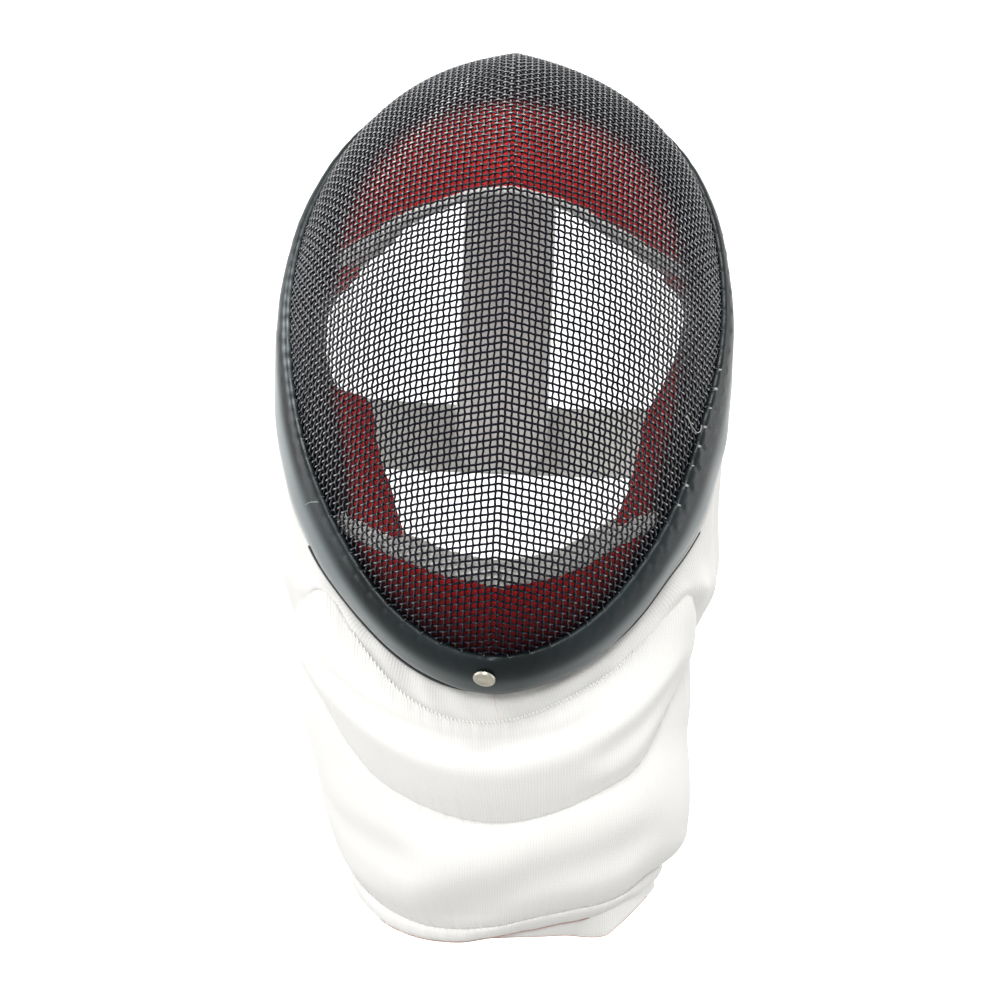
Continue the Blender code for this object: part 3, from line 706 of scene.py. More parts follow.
phi = np.linspace(-pi, pi, RIM_COLUMNS, endpoint=False)
front_line = bowl(rim_front(phi), phi)
gaps = np.linalg.norm(np.roll(front_line, -1, axis=0) - front_line, axis=-1)
along = np.concatenate([[0.0], np.cumsum(gaps)[:-1]])
edge_length = gaps.sum()
stitch_count = round(edge_length / STITCH_PITCH)
pitch = edge_length / stitch_count
to_stitch = (along - STITCH_SHIFT + 0.5 * pitch) % pitch - 0.5 * pitch
dimple = bell(to_stitch / DIMPLE_REACH)[:, None]
section = np.concatenate([through(RIM_OUTSIDE, RIM_CUTS), RIM_SLOT])
setback, height = section[None, :, 0], section[None, :, 1]
outer = (np.arange(len(section)) < (len(RIM_OUTSIDE) - 6) * RIM_CUTS)[None, :]
# The rubber rises behind each dimple.
near_stitch = bell((setback - STITCH_SETBACK) / DIMPLE_REACH) * outer
near_stitch = near_stitch - 0.8 * bell((setback - STITCH_SETBACK - RISE_BEHIND) / DIMPLE_REACH) * outer
# Slow unevenness of the rubber, up to 0.2 mm either way, in waves 19 to 67 mm long.
lumps = ripple(along[:, None], setback, (
    (0.00008, 2 * pi / 0.041, 90.0, 0.4),
    (0.00008, 2 * pi / 0.067, -160.0, 2.1),
    (0.00003, 2 * pi / 0.019, 210.0, 4.4),
)) * outer * smooth(setback / 0.003)
# The right side has been sewn tighter, so its dimples are deeper.
deep = DIMPLE_DEPTH + DIMPLE_DEPTH_RIGHT * bell((phi - DIMPLES_AT) / DIMPLES_OVER)[:, None]
height = height - deep * dimple * near_stitch + lumps
pull = EDGE_PULL * (0.3 + deep / (DIMPLE_DEPTH + DIMPLE_DEPTH_RIGHT))
setback = setback + pull * dimple * bell(setback / EDGE_PULL_REACH) * outer
setback = setback - rim_advance(phi)[:, None] * (1.0 - smooth(setback / ADVANCE_FADE))
psi = rim_psi(setback, phi[:, None])
rim = new_piece("rim", layer(psi, phi[:, None], height),
                grid_quads(RIM_COLUMNS, len(section), True, True), rubber)
# The painted sheen and the coat fade on the chin's underside.
from_front = section[None, :, 0]
held = 1.0 - 0.7 * bell((phi[:, None] + pi / 2.0) / SHEEN_CHIN_REACH)
# The painted sheen is strongest at the left, and there the front edge also has patches of painted
# highlight.
held = held * (1.1 - 0.25 * np.cos(phi[:, None]))
sheen_line = SHEEN_FROM + SHEEN_SLANT * np.cos(phi[:, None])
sheen_band = held * smooth((from_front - sheen_line) / SHEEN_OVER) * (
    1.0 - 0.7 * smooth((from_front - SHEEN_END) / SHEEN_END_OVER)) * outer
from_left = (pi - np.abs(phi[:, None])) / LEFT_GLINT_REACH
patchy = 0.6 + 0.4 * np.sin(along[:, None] * (2.0 * pi / LEFT_GLINT_PITCH))
edge_glints = bell(from_left) * bell((from_front - EDGE_GLINT_AT) / EDGE_GLINT_REACH)
sheen_band = sheen_band + 0.9 * patchy * edge_glints * outer
mark_points(rim, "polish_and_painted_sheen", sheen_band)
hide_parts("rim_trim")
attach(rim, "root")

# Black waxed thread, its ply twisted 0.4 mm long, and the same thread where its wax has worn off, whose
# pale grey also makes the painted highlights of the knots at the right.
thread_wax = thread_material("black_waxed_thread", "#17191c", "#4a4f52", 0.45, 2600.0, 1.0, 0.4, 0.0002)
grey_thread = thread_material("pale_grey_thread", "#6d7170", "#b4b7b5", 0.6, 2600.0, 1.0)

stitch_at = STITCH_SHIFT + pitch * np.arange(stitch_count)
stitch_phi = np.interp(stitch_at, along, phi)[:, None]
walk = np.linspace(0.0, 1.0, THREAD_POINTS)[None, :]
# Each stitch comes out of its dimple, goes over the edge and into the wire.
stitch_back = STITCH_SETBACK * (1.0 - walk) - 0.0003 * walk
stitch_back = stitch_back - rim_advance(stitch_phi)
stitch_height = STITCH_TOP - STITCH_FALL * walk**2 + 0.0003 * np.sin(pi * walk)
stitch_lean = stitch_phi + STITCH_LEAN * (walk - 0.5)
psi = rim_psi(stitch_back, stitch_lean)
rim_thread("rim_stitches", layer(psi, stitch_lean, stitch_height), bowl_normal(psi, stitch_lean),
           THREAD_RADIUS, thread_wax)

# A thin black cord is glued along the rim's back edge, round both sides of the chin. Its black
# also stands for the shade under the rim's lip there: partly painted shade. It goes under the edge
# in the middle, and stands off a little at the right.
phi = np.radians(np.linspace(CORD_FROM, CORD_TO, CORD_STEPS))
loose = bell((phi - CORD_LOOSE_AT) / CORD_LOOSE_OVER)
lift = CORD_LIFT + 0.0004 * loose + CORD_RISE * bell((phi - CORD_RISES_AT) / CORD_DIPS_OVER)
lift = lift - CORD_DIP * bell((phi - CORD_DIPS_AT) / CORD_DIPS_OVER)
path = layer(rim_psi(CORD_SETBACK + CORD_SLACK * loose, phi), phi, lift)[None]
# It is stretched thin at the right.
thin = CORD_RADIUS * (1.0 - CORD_THINS * smooth((phi - CORD_DIPS_AT) / CORD_THINS_OVER))
thin = thin[None, :, None, None]
rim_thread("rim_cord", path, bowl_normal(rim_psi(CORD_SETBACK, phi), phi)[None], thin, thread_wax,
           CORD_SIDES)

# Low down at the right each stitch ends in a pale knot, a painted highlight on its dimple.
knotted = (stitch_phi > KNOTS_FROM) & (stitch_phi < KNOTS_TO)
knot_phi = stitch_phi[knotted][:, None] + 0.0020 * (walk - 0.5)
knot_back = KNOT_SETBACK + KNOT_LENGTH * (walk - 0.5) - rim_advance(knot_phi)
psi = rim_psi(knot_back, knot_phi)
path = layer(psi, knot_phi, KNOT_HEIGHT + 0.0005 * walk)
size = KNOT_RADIUS * (1.0 + 0.3 * np.sin(2.3 * np.arange(len(path))))[:, None, None, None]
rim_thread("rim_highlight_knots", path, bowl_normal(psi, knot_phi), size, grey_thread)

# One stitch on the right has pulled out, and its loop lies on the wire.
loop_phi, loop_psi = np.radians(eased(LOOSE_THREAD, np.linspace(0.0, 1.0, 40))).T
path = layer(loop_psi, loop_phi, 0.0011 + 0.0012 * np.sin(np.linspace(0.0, pi, 40)))[None]
rim_thread("loose_thread", path, bowl_normal(loop_psi, loop_phi)[None], LOOSE_RADIUS, grey_thread)

# A short end of the same thread sticks to the rim at the left.
front = np.array(RIM_OUTSIDE[1:6])
back = np.linspace(0.0012, 0.0098, 24)
end_phi = THREAD_END_AT - 1.6 * back - 0.006 * np.sin(np.linspace(0.0, pi, 24))
psi = rim_psi(back, end_phi)
path = layer(psi, end_phi, np.interp(back, front[:, 0], front[:, 1]) + 0.0002)[None]
rim_thread("thread_end", path, bowl_normal(psi, end_phi)[None], THREAD_END_RADIUS, grey_thread)

# ==== Rivet at the chin ====
# A nickel-plated cap with a raised round edge, pressed through the rim a little left of middle.
# Its plating has dulled and picked up fine scratches.
RIVET_X = -0.002
RIVET_SETBACK = 0.0084
RIVET_LIFT = 0.0047
# Columns: radius, height over the rivet's flat underside.
RIVET_PROFILE = (
    (0, 0.0014), (0.0014, 0.0014), (0.0026, 0.0012), (0.0033, 0.0011), (0.0037, 0.0014),
    (0.0041, 0.0016), (0.0046, 0.0013), (0.0048, 0.0006), (0.0047, 0), (0.0041, 0),
)
RIVET_TIP = radians(8.0)
RIVET_COLUMNS = 64
RIVET_HUB = 0.00002

# Nickel plate: a pale warm grey mirror gone half matt, with hair scratches 0.15 mm apart.
nickel, tree, shader, where = new_material("dulled_nickel_plate")
stretch = add_node(tree, "Mapping", Vector=where, Scale=(900.0, 900.0, 6500.0),
                   Rotation=(0.3, 0.5, 0.2))
hairs = add_node(tree, "TexNoise", Vector=stretch, Scale=1.0, Detail=3.0)
haze = add_node(tree, "TexNoise", Vector=where, Scale=450.0, Detail=3.0)
tone = add_node(tree, "Mix", data_type="RGBA", _0=haze, _6="#a09c8f", _7="#c8c4b6")
rough = add_node(tree, "MapRange", Value=hairs, From_Min=0.3, From_Max=0.7, To_Min=0.28, To_Max=0.46)
grain = add_node(tree, "Bump", Height=hairs, Strength=0.2, Distance=0.0001)
fill_inputs(tree, shader, Base_Color=tone, Metallic=0.85, Roughness=rough, Normal=grain)

profile = through(RIVET_PROFILE, 4)
profile = np.concatenate([profile, [[RIVET_HUB, 0.0]]])
profile[0, 0] = RIVET_HUB
rivet_phi = np.array(-pi / 2.0)
rivet_psi = rim_psi(RIVET_SETBACK, rivet_phi)
rivet_phi = rivet_phi + RIVET_X / (HALF_WIDTH * np.sin(rivet_psi))
axis = bowl_normal(rivet_psi, rivet_phi)
side = unit(np.cross(axis, [0.0, 0.0, 1.0]))
ahead = np.cross(axis, side)
# It was pressed in pointing a little further down than the rubber faces.
tip = cos(RIVET_TIP) * axis + sin(RIVET_TIP) * ahead * -np.sign(ahead[2])
ahead = np.cross(tip, side)
axis = tip
turn = turns(RIVET_COLUMNS)
spokes = np.cos(turn)[:, None] * side + np.sin(turn)[:, None] * ahead
points = (layer(rivet_psi, rivet_phi, np.array(RIVET_LIFT))
          + profile[None, :, 0, None] * spokes[:, None, :] + profile[None, :, 1, None] * axis)
# Two fans of quads, each from a hub, close the cap's middle and its underside.
deep = len(profile)
quads = grid_quads(RIVET_COLUMNS, deep, True, False)
fan = np.arange(0, RIVET_COLUMNS, 2)
rivet_points = np.concatenate([points.reshape(-1, 3), points[:1, 0], points[:1, -1]])
hub = RIVET_COLUMNS * deep
top = np.stack([np.full(len(fan), hub), fan * deep, (fan + 1) * deep,
                (fan + 2) % RIVET_COLUMNS * deep], -1)
under = top + [1, deep - 1, deep - 1, deep - 1]
rivet = new_piece("rivet_cap", rivet_points, np.concatenate([quads, top, under]), nickel)
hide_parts("chin_rivet")
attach(rivet, "root")

# ==== Lining: forehead pad, cheek pads and chin pad ====
# Foam wrapped in red polyester cloth, glued inside the wire and tucked under the rim, with painted
# shade, near black, round its margin. The foam is thin at its free edge and swells behind it.
LINING_BACK = 0.0054
LINING_IN_RIM = 0.024
LINING_ROWS = 26
# The edge of each pad round the opening for the face: degrees phi, degrees psi.
FOREHEAD_EDGE = (
    (17, 61.5), (20, 55.3), (25.5, 47.4), (31.8, 41.8), (38.8, 37.4), (47.5, 34.3), (54.8, 32.5),
    (69.5, 29.8), (84, 28.8), (98, 29), (113.2, 30.8), (127.5, 33.5), (137, 36.8), (145, 41),
    (152.5, 45.1), (158.2, 51.4), (163, 58),
)
RIGHT_CHEEK_EDGE = (
    (-44.5, 49.7), (-39, 49.2), (-34.5, 48.1), (-29.5, 46.9), (-25.2, 46), (-18.2, 45.1), (-14.3, 46.2),
    (-9.8, 49.1), (-5.5, 52.1), (-1, 55.8), (3.7, 58.4), (8.2, 59.2), (10.5, 58.2), (12.5, 55.6),
    (14.5, 52), (16.75, 49),
)
LEFT_CHEEK_EDGE = (
    (-196.75, 46), (-194, 47.6), (-190.5, 51.2), (-187, 56), (-184, 59), (-180.5, 60), (-176.8, 59.2),
    (-171.2, 56.1), (-168.2, 52.8), (-166, 47), (-164, 42.8), (-161, 40.8), (-154.5, 40.9),
    (-146.8, 41.8), (-140, 42.6), (-133, 45), (-128.5, 46.6),
)
CHIN_EDGE = (
    (-144, 71), (-139.3, 64), (-135.8, 59.7), (-131, 55.2), (-126, 51.8), (-121.2, 49.2),
    (-115.2, 47.4), (-107, 45.4), (-99.8, 44.4), (-92, 44), (-86, 44), (-78.5, 44.6), (-71.2, 45.7),
    (-65.8, 46.9), (-59, 48.8), (-53.8, 50.4), (-47, 53.2), (-42.8, 56.3), (-38.5, 60.6), (-34, 67),
)
# How far back each pad reaches: a cheek pad stops at the chin roll, and beyond its end at the
# chin pad, and the others run on under the rim.
RIGHT_CHEEK_BACK = (
    (-44.5, 51.8), (-43, 52.8), (-39.5, 55.6), (-37.3, 59.2), (-36.2, 63), (-35.6, 74), (-35.1, 90),
    (-33.5, 120), (17, 120),
)
LEFT_CHEEK_BACK = (
    (-197, 120), (-144.5, 120), (-143.2, 90), (-142.6, 74), (-142, 63), (-140.8, 58.4), (-137.6, 55),
    (-133.5, 52), (-131, 50.2), (-128.5, 48.4),
)
NO_LIMIT = ((-197, 120.0), (163, 120.0))
# Where the red cloth ends and the painted shade of the margin begins: degrees phi, degrees psi.
SHADE_MARGIN_LINE = (
    (-197, 52), (-185, 54), (-175, 53), (-165, 52), (-150, 52.5), (-140, 60), (-125, 63), (-90, 65),
    (-55, 63), (-40, 60), (-30, 55), (-10, 54), (5, 55), (20, 57.5), (30, 58.5), (45, 59.5), (70, 54),
    (90, 51.5), (110, 54), (135, 59.5), (150, 57.5), (163, 56),
)
SHADE_MARGIN_BLEND = 6.0
SHADE_OVER = 0.5
# Widths are radians of psi, and the rounding of a pad's ends is in degrees of phi.
FULL_SWELL_WIDTH = 0.15
LEAST_WIDTH = 0.002
PAD_END_ROUND = 1.6
FOAM_PRESSURE = 4.0
SWELL_FRAMES = 20
SWELL_CAP = 0.0025
# Columns: name, node, edge, back, from phi, to phi, columns, thickness, swell behind it, fill, and
# how much painted shade darkens its red at its free edge and under the rim.
LINING_PADS = (
    ("forehead_pad_cloth", "forehead_pad", FOREHEAD_EDGE, NO_LIMIT, 17.0, 163.0, 220, 0.005,
     0.009, 0.7, 0.0, 0.0),
    ("right_cheek_pad_cloth", "cheek_lining", RIGHT_CHEEK_EDGE, RIGHT_CHEEK_BACK, -44.3, 16.75,
     170, 0.0035, 0.0025, 0.45, 0.12, 0.12),
    ("left_cheek_pad_cloth", "cheek_lining", LEFT_CHEEK_EDGE, LEFT_CHEEK_BACK, -196.75, -128.7,
     180, 0.0035, 0.0025, 0.45, 0.12, 0.12),
    ("chin_pad_cloth", "cheek_lining", CHIN_EDGE, NO_LIMIT, -143.6, -34.4, 260, 0.0035,
     0.0025, 0.45, 0.25, 0.80),
)


def degrees_psi(table, phi):
    """Angle psi at phi, from a table in degrees."""
    return np.radians(eased(table, np.degrees(phi))[..., 0])


def out_and_home(outer, inner):
    """Rows that each run out along one grid and home along the other."""
    return np.concatenate([outer, inner[:, ::-1]], axis=1)


def padded_wall(outer, inner):
    """Closed solid between two grids of points of the same size.

    Each row becomes a loop out and home, the loops are joined in order, and the first and last are
    closed by a strip of quads between the grids.
    """
    loops = out_and_home(outer, inner)
    return loops, capped(*loops.shape[:2])


def round_ends(share, reach):
    """Fullness of a wall whose edge is rounded: a quarter circle over the first part, then 1."""
    near = np.clip(1.0 - share / reach, 0.0, 1.0)
    return np.sqrt(np.maximum(1.0 - near**2, 0.0))


def swollen(sheet, cap):
    """Grid of points after its cloth, held all round its edge, is pushed out for a while by the foam.

    Each point moves by what the simulation gives, or the cap along the same line where that is less.
    """
    rows, columns = sheet.shape[:2]
    quads = grid_quads(rows, columns)[:, ::-1]
    item = new_piece("cloth_sheet", sheet, quads, red_cloth, turn_out=False)
    number = np.arange(rows * columns).reshape(rows, columns)
    held = item.vertex_groups.new(name="held")
    edge_points = np.concatenate([number[0], number[-1], number[:, 0], number[:, -1]])
    held.add(edge_points.tolist(), 1.0, "REPLACE")
    cloth = item.modifiers.new("swell", "CLOTH")
    cloth.settings.vertex_group_mass = "held"
    cloth.settings.use_pressure = True
    cloth.settings.uniform_pressure_force = FOAM_PRESSURE
    cloth.settings.effector_weights.gravity = 0.0
    cloth.collision_settings.use_collision = False
    cloth.point_cache.frame_start = 1
    cloth.point_cache.frame_end = SWELL_FRAMES
    for frame in range(1, SWELL_FRAMES + 1):
        bpy.context.scene.frame_set(frame)
    shown = item.evaluated_get(bpy.context.evaluated_depsgraph_get())
    settled = np.empty(sheet.size, dtype=np.float32)
    shown.data.vertices.foreach_get("co", settled)
    mesh = item.data
    bpy.data.objects.remove(item)
    bpy.data.meshes.remove(mesh)
    bpy.context.scene.frame_set(1)
    move = settled.reshape(sheet.shape) - sheet
    length = np.linalg.norm(move, axis=-1, keepdims=True)
    return sheet + move * np.minimum(1.0, cap / np.maximum(length, 1e-9))


# Red polyester cloth: matt and brushed, woven at 0.9 mm so that it shows, and its colour
# shifts a little between its puckers.
red_cloth, tree, shader, where = new_material("red_brushed_polyester")
cloudy = add_node(tree, "TexNoise", Vector=where, Scale=60.0, Detail=3.0)
weave = add_node(tree, "TexVoronoi", Vector=where, Scale=1100.0)
fluff = add_node(tree, "TexNoise", Vector=where, Scale=2200.0, Detail=2.0)
tone = add_node(tree, "Mix", data_type="RGBA", _0=cloudy, _6="#cf292a", _7="#e93b3c")
shade = add_node(tree, "MapRange", Value=weave, From_Min=0.2, From_Max=0.7, To_Min=0.0, To_Max=0.45)
tone = add_node(tree, "Mix", data_type="RGBA", _0=shade, _6=tone, _7="#a21d1e")
# The margin is painted shade: the red mixed to near black.
shade_margin = add_node(tree, "Attribute", attribute_name="shade_margin")
tone = add_node(tree, "Mix", data_type="RGBA", _0=shade_margin, _6=tone, _7="#160d0e")
relief = add_node(tree, "Math", operation="SUBTRACT", _0=fluff, _1=weave)
grain = add_node(tree, "Bump", Height=relief, Strength=0.35, Distance=0.0003)
fill_inputs(tree, shader, Base_Color=tone, Roughness=0.88, Sheen_Weight=0.06, Specular_IOR_Level=0.12,
            Normal=grain)

for (piece_name, node, edge_table, back_table, start, end, columns, edge, swell, fill,
     shade_at_edge, shade_at_back) in LINING_PADS:
    phi = np.radians(np.linspace(start, end, columns))[:, None]
    share = np.linspace(0.0, 1.0, LINING_ROWS)[None, :] ** 1.35
    front = degrees_psi(edge_table, phi)
    back = np.minimum(rim_psi(LINING_IN_RIM, phi), degrees_psi(back_table, phi))
    psi = front + np.maximum(back - front, LEAST_WIDTH) * share
    # The swell is full where the pad is wide, and dies away where it narrows to a point.
    room = np.clip((back - front) / FULL_SWELL_WIDTH, 0.0, 1.0)
    thick = edge + swell * room * np.sin(pi * share) ** 0.7
    full = round_ends(share, 0.05) * round_ends(1.0 - share, 0.04)
    from_end = np.degrees(np.minimum(phi - phi[0], phi[-1] - phi))
    full = full * (0.1 + 0.9 * round_ends(from_end, PAD_END_ROUND))
    puckers = room * ripple(phi, share, (
        (0.00035, 61.0, 3.0, 0.3),
        (0.00030, 37.0, -7.0, 1.9),
        (0.00025, 93.0, 5.0, 4.0),
        (0.00030, 11.0, 9.0, 2.6),
    )) * np.sin(pi * share)
    middle = -LINING_BACK - 0.5 * thick
    outer = layer(psi, phi, middle + full * (0.5 * thick + puckers))
    inner = layer(psi, phi, middle - full * (0.5 * thick - puckers))
    inner = swollen(inner, SWELL_CAP)
    points, quads = padded_wall(outer, inner)
    pad = new_piece(piece_name, points, quads, red_cloth)
    # Painted shade: near black beyond the margin line, over a darkening of the red that runs from the
    # free edge back under the rim.
    black = smooth((np.degrees(psi - degrees_psi(SHADE_MARGIN_LINE, phi)) + 0.5 * SHADE_MARGIN_BLEND)
                   / SHADE_MARGIN_BLEND)
    painted_darkening = shade_at_edge + (shade_at_back - shade_at_edge) * smooth(share / SHADE_OVER)
    black = painted_darkening + (1.0 - painted_darkening) * black
    mark_points(pad, "shade_margin", out_and_home(black, black))
    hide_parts(node)
    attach(pad, "root")

# ==== Piping of the forehead pad and roll of the chin pad ====
# Bias strips of pale grey cloth wrapped round a cord: 4 to 12 mm thick round the forehead, 11 mm
# at the chin. Wrapped on a curve, the cloth gathers into fine slanting wrinkles.
EDGE_GAP = -0.0010
ROLL_SIDES = 20
ROLL_CLEARANCE = 0.0034
ROLL_END_ROUND = 0.012
# Columns: degrees phi, radius of the piping there.
PIPING_RADIUS = (
    (17, 0.0044), (27, 0.0036), (45, 0.0026), (90, 0.0021), (125, 0.0023), (142, 0.0032), (153, 0.0048),
    (163, 0.0058),
)
ROLL_RADIUS = ((-144, 0.0058), (-90, 0.0054), (-34, 0.0058))
# Columns: name, node, edge, from phi, to phi, steps, radius, lining's thickness at the edge.
EDGE_CORDS = (
    ("forehead_piping_cloth", "forehead_piping", FOREHEAD_EDGE, 17.5, 162.5, 420,
     PIPING_RADIUS, 0.005),
    ("chin_roll_cloth", "chin_roll", CHIN_EDGE, -142.5, -35.5, 460, ROLL_RADIUS, 0.0035),
)


def cord_surface(path, outward, radius):
    """Round cord along a path: each ring's points lie at radius(step, turn) from the path."""
    steps, sides = radius.shape
    return rings(path, radius[:, :, None], *frames(path, outward), sides), capped(steps, sides)


# Grey cotton binding: matt, its threads 0.6 mm apart, soiled a little unevenly.
grey_cloth, tree, shader, where = new_material("pale_grey_cotton_binding")
soil = add_node(tree, "TexNoise", Vector=where, Scale=90.0, Detail=4.0)
threads = add_node(tree, "TexVoronoi", Vector=where, Scale=1700.0)
tone = add_node(tree, "Mix", data_type="RGBA", _0=soil, _6="#f0f0ea", _7="#fdfdf9")
grain = add_node(tree, "Bump", Height=threads, Strength=0.4, Distance=0.0002)
fill_inputs(tree, shader, Base_Color=tone, Roughness=0.9, Normal=grain)

for piece_name, node, edge_table, start, end, steps, radius_table, edge in EDGE_CORDS:
    phi = np.radians(np.linspace(start, end, steps))
    psi = degrees_psi(edge_table, phi)
    cord_radius = eased(radius_table, np.degrees(phi))
    # A thick stretch lies deeper, so that it stays clear of the wire.
    line = layer(psi, phi, -np.maximum(LINING_BACK + 0.5 * edge, (cord_radius + ROLL_CLEARANCE)[:, 0]))
    outward = bowl_normal(psi, phi)
    inward = unit(np.cross(np.gradient(line, axis=0), outward))
    towards_face = bowl(psi - STEP, phi) - bowl(psi, phi)
    inward = inward * np.sign(np.sum(inward * towards_face, axis=-1))[:, None]
    path = line + inward * (cord_radius + EDGE_GAP)
    turn = turns(ROLL_SIDES)[None, :]
    step = np.arange(steps)[:, None]
    gathers = 1.0 + 0.045 * np.sin(0.55 * step + turn + 0.8 * np.sin(0.071 * step))
    gathers = gathers + 0.03 * np.sin(0.23 * step - 2.0 * turn)
    ends = round_ends(np.minimum(step, steps - 1 - step) / steps, ROLL_END_ROUND) * 0.97 + 0.03
    points, quads = cord_surface(path, outward, cord_radius * gathers * ends)
    piping = new_piece(piece_name, points, quads, grey_cloth)
    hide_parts(node)
    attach(piping, "root")

# ==== Bib ====
# Several layers of white ribbed cloth, quilted into a collar behind the rim and two padded
# tiers below it, sewn along curved seams and bound along the hem. It hangs a little to the right.
# Columns: drop below the widest level, half-width, depth in front of the bib's own middle.
BIB_PROFILE = (
    (0.06, 0.098, 0.096), (0.105, 0.097, 0.096), (0.131, 0.089, 0.095), (0.169, 0.0855, 0.0945),
    (0.211, 0.079, 0.0925), (0.24, 0.0735, 0.089), (0.266, 0.067, 0.08),
)
# Columns: drop, how far the left side and the right side stand out from that profile.
BIB_SIDES = (
    (0.125, 0.001, 0), (0.14, 0.0015, 0), (0.1584, 0, -0.0023), (0.1744, 0, -0.0052),
    (0.1888, 0, -0.004), (0.1984, 0.0004, -0.0026), (0.2144, 0.0021, -0.0002), (0.224, 0.0023, 0.001),
    (0.2304, 0.0023, -0.001), (0.2352, 0.002, -0.004), (0.24, 0.0015, -0.0054), (0.25, 0, -0.0054),
    (0.27, 0, -0.0054),
)
BIB_MIDDLE_Y = -0.017
BIB_SWING = 0.012
BIB_SWING_DROP = 0.120
BIB_SWING_SPAN = 0.115
BIB_END = radians(100.0)
TIER_TIP = radians(88.0)
# Columns: degrees from the front, drop of the seam.
SEAM_ONE = (
    (-88, 0.1338), (-80, 0.129), (-72, 0.1226), (-61, 0.1159), (-54.5, 0.1113), (-50.5, 0.1156),
    (-46, 0.1272), (-37.5, 0.1432), (-28.5, 0.1564), (-17, 0.1655), (-5, 0.1678), (7, 0.1645),
    (18, 0.158), (31, 0.1486), (42.5, 0.1374), (50, 0.1272), (56.6, 0.1178), (62.4, 0.1096),
    (68, 0.113), (76, 0.1212), (88, 0.1342),
)
SEAM_TWO = (
    (-100, 0.1315), (-88, 0.1345), (-80, 0.1395), (-70, 0.15), (-63.5, 0.1615), (-56, 0.178),
    (-45, 0.1932), (-32.5, 0.2018), (-18, 0.2078), (-3, 0.2094), (13, 0.2046), (29, 0.1955),
    (44, 0.185), (53, 0.1742), (64, 0.159), (75, 0.1465), (88, 0.135), (100, 0.1315),
)
HEM_SEAM = (
    (-100, 0.243), (-85, 0.2448), (-70.9, 0.2479), (-59.8, 0.2518), (-53.5, 0.2541), (-42.8, 0.2569),
    (-33.6, 0.2586), (-25.2, 0.2589), (-17.5, 0.2584), (-10.2, 0.2571), (-3.1, 0.2556), (3.7, 0.2532),
    (10.5, 0.251), (17.5, 0.2492), (24.6, 0.2476), (32.4, 0.2464), (40.8, 0.244), (50.1, 0.2406),
    (58.8, 0.2374), (75, 0.2355), (100, 0.235),
)
HEM_FOOT = (
    (-100, 0.2505), (-82, 0.2535), (-63.9, 0.2581), (-54.6, 0.2612), (-44.8, 0.2632), (-34.9, 0.2644),
    (-26.1, 0.2644), (-16.9, 0.2636), (-10.4, 0.2619), (-3.1, 0.2601), (4, 0.2581), (11.1, 0.2565),
    (18.4, 0.2546), (25.9, 0.2534), (33.1, 0.252), (39.1, 0.2504), (47.5, 0.2472), (55.9, 0.2447),
    (62.6, 0.243), (80, 0.2415), (100, 0.241),
)
FACING_FOOT = (
    (-19, 0.2634), (-17.4, 0.2637), (-10.8, 0.2624), (-3.2, 0.2614), (11.8, 0.2605), (23.6, 0.2602),
    (36, 0.2608), (38.4, 0.2602), (43.9, 0.2566), (52.4, 0.2519), (66.5, 0.2476), (80, 0.246),
    (100, 0.245),
)
SEAM_LAP = 0.0042
SEAM_STEP = 0.0004
BIB_WALL = 0.0035
TIER_COLUMNS = 300
TIER_ROWS = 44
COLLAR_WALL = 0.0034
COLLAR_TOP_PHI = -12.0
COLLAR_CLEARANCE = 0.0006
COLLAR_BOW = 0.004
COLLAR_ROWS = 30
BAG_LEFT = 0.0016
BAG_RIGHT = 0.0050
BAG_AT = 0.64
BAG_OVER = 0.20
BIB_RADIUS = 0.088
# Degrees round the bib at which each of these begins, and over which it grows.
SIDES_FROM = 38.0
SIDES_OVER = 34.0
TIPS_FROM = 42.0
TIPS_OVER = 12.0
BAGS_FROM = 60.0
BAGS_OVER = 16.0
RIB_PITCH = 0.0013
KNIT_LENGTH = 0.0015


def bib_point(theta, drop, proud):
    """Point of the bib at an angle from its front and a drop, proud of its base outward."""
    theta, drop, proud = np.broadcast_arrays(theta, drop, proud)
    shape = eased(BIB_PROFILE, drop)
    swing = BIB_SWING * smooth((drop - BIB_SWING_DROP) / BIB_SWING_SPAN)
    sides = eased(BIB_SIDES, drop)
    sides = np.where(theta > 0.0, sides[..., 1], -sides[..., 0])
    side = smooth((np.abs(np.degrees(theta)) - SIDES_FROM) / SIDES_OVER)
    x = swing + (shape[..., 0] + proud) * np.sin(theta) + sides * side
    y = BIB_MIDDLE_Y - (shape[..., 1] + proud) * np.cos(theta)
    return np.stack([x, y, WIDEST_Z - drop], axis=-1)


def seam(table, theta):
    """Drop of a seam at an angle from the front."""
    return eased(table, np.degrees(theta))[..., 0]


def folds(theta, drop, table):
    """Sum of soft folds: each is a bell across a line, its height times exp(-(distance/width)^2).

    The line's drop is a cubic through its rows, and the fold rises and fades over its two ends.
    """
    degrees = np.degrees(theta)
    total = np.zeros(np.broadcast(theta, drop).shape)
    for height, width, fade, line in table:
        middle = eased(line, degrees)[..., 0]
        ends = smooth((degrees - line[0][0] + fade) / (2 * fade))
        ends = ends * smooth((line[-1][0] + fade - degrees) / (2 * fade))
        total = total + height * ends * bell((drop - middle) / width)
    return total


def bib_outward(theta):
    """Level direction outward from the bib at an angle from its front."""
    return np.stack([np.sin(theta), -np.cos(theta), np.zeros_like(theta)], axis=-1)


def flush_tips(theta):
    """1 at the two tips of the first tier, where its layers lie flush with the collar, else 0."""
    return smooth((np.abs(np.degrees(theta)) - TIPS_FROM) / TIPS_OVER)


def squared_off(values, power):
    """Each value's sign times its size to a power: below 1, that fills a circle out to a box."""
    return np.sign(values) * np.abs(values) ** power


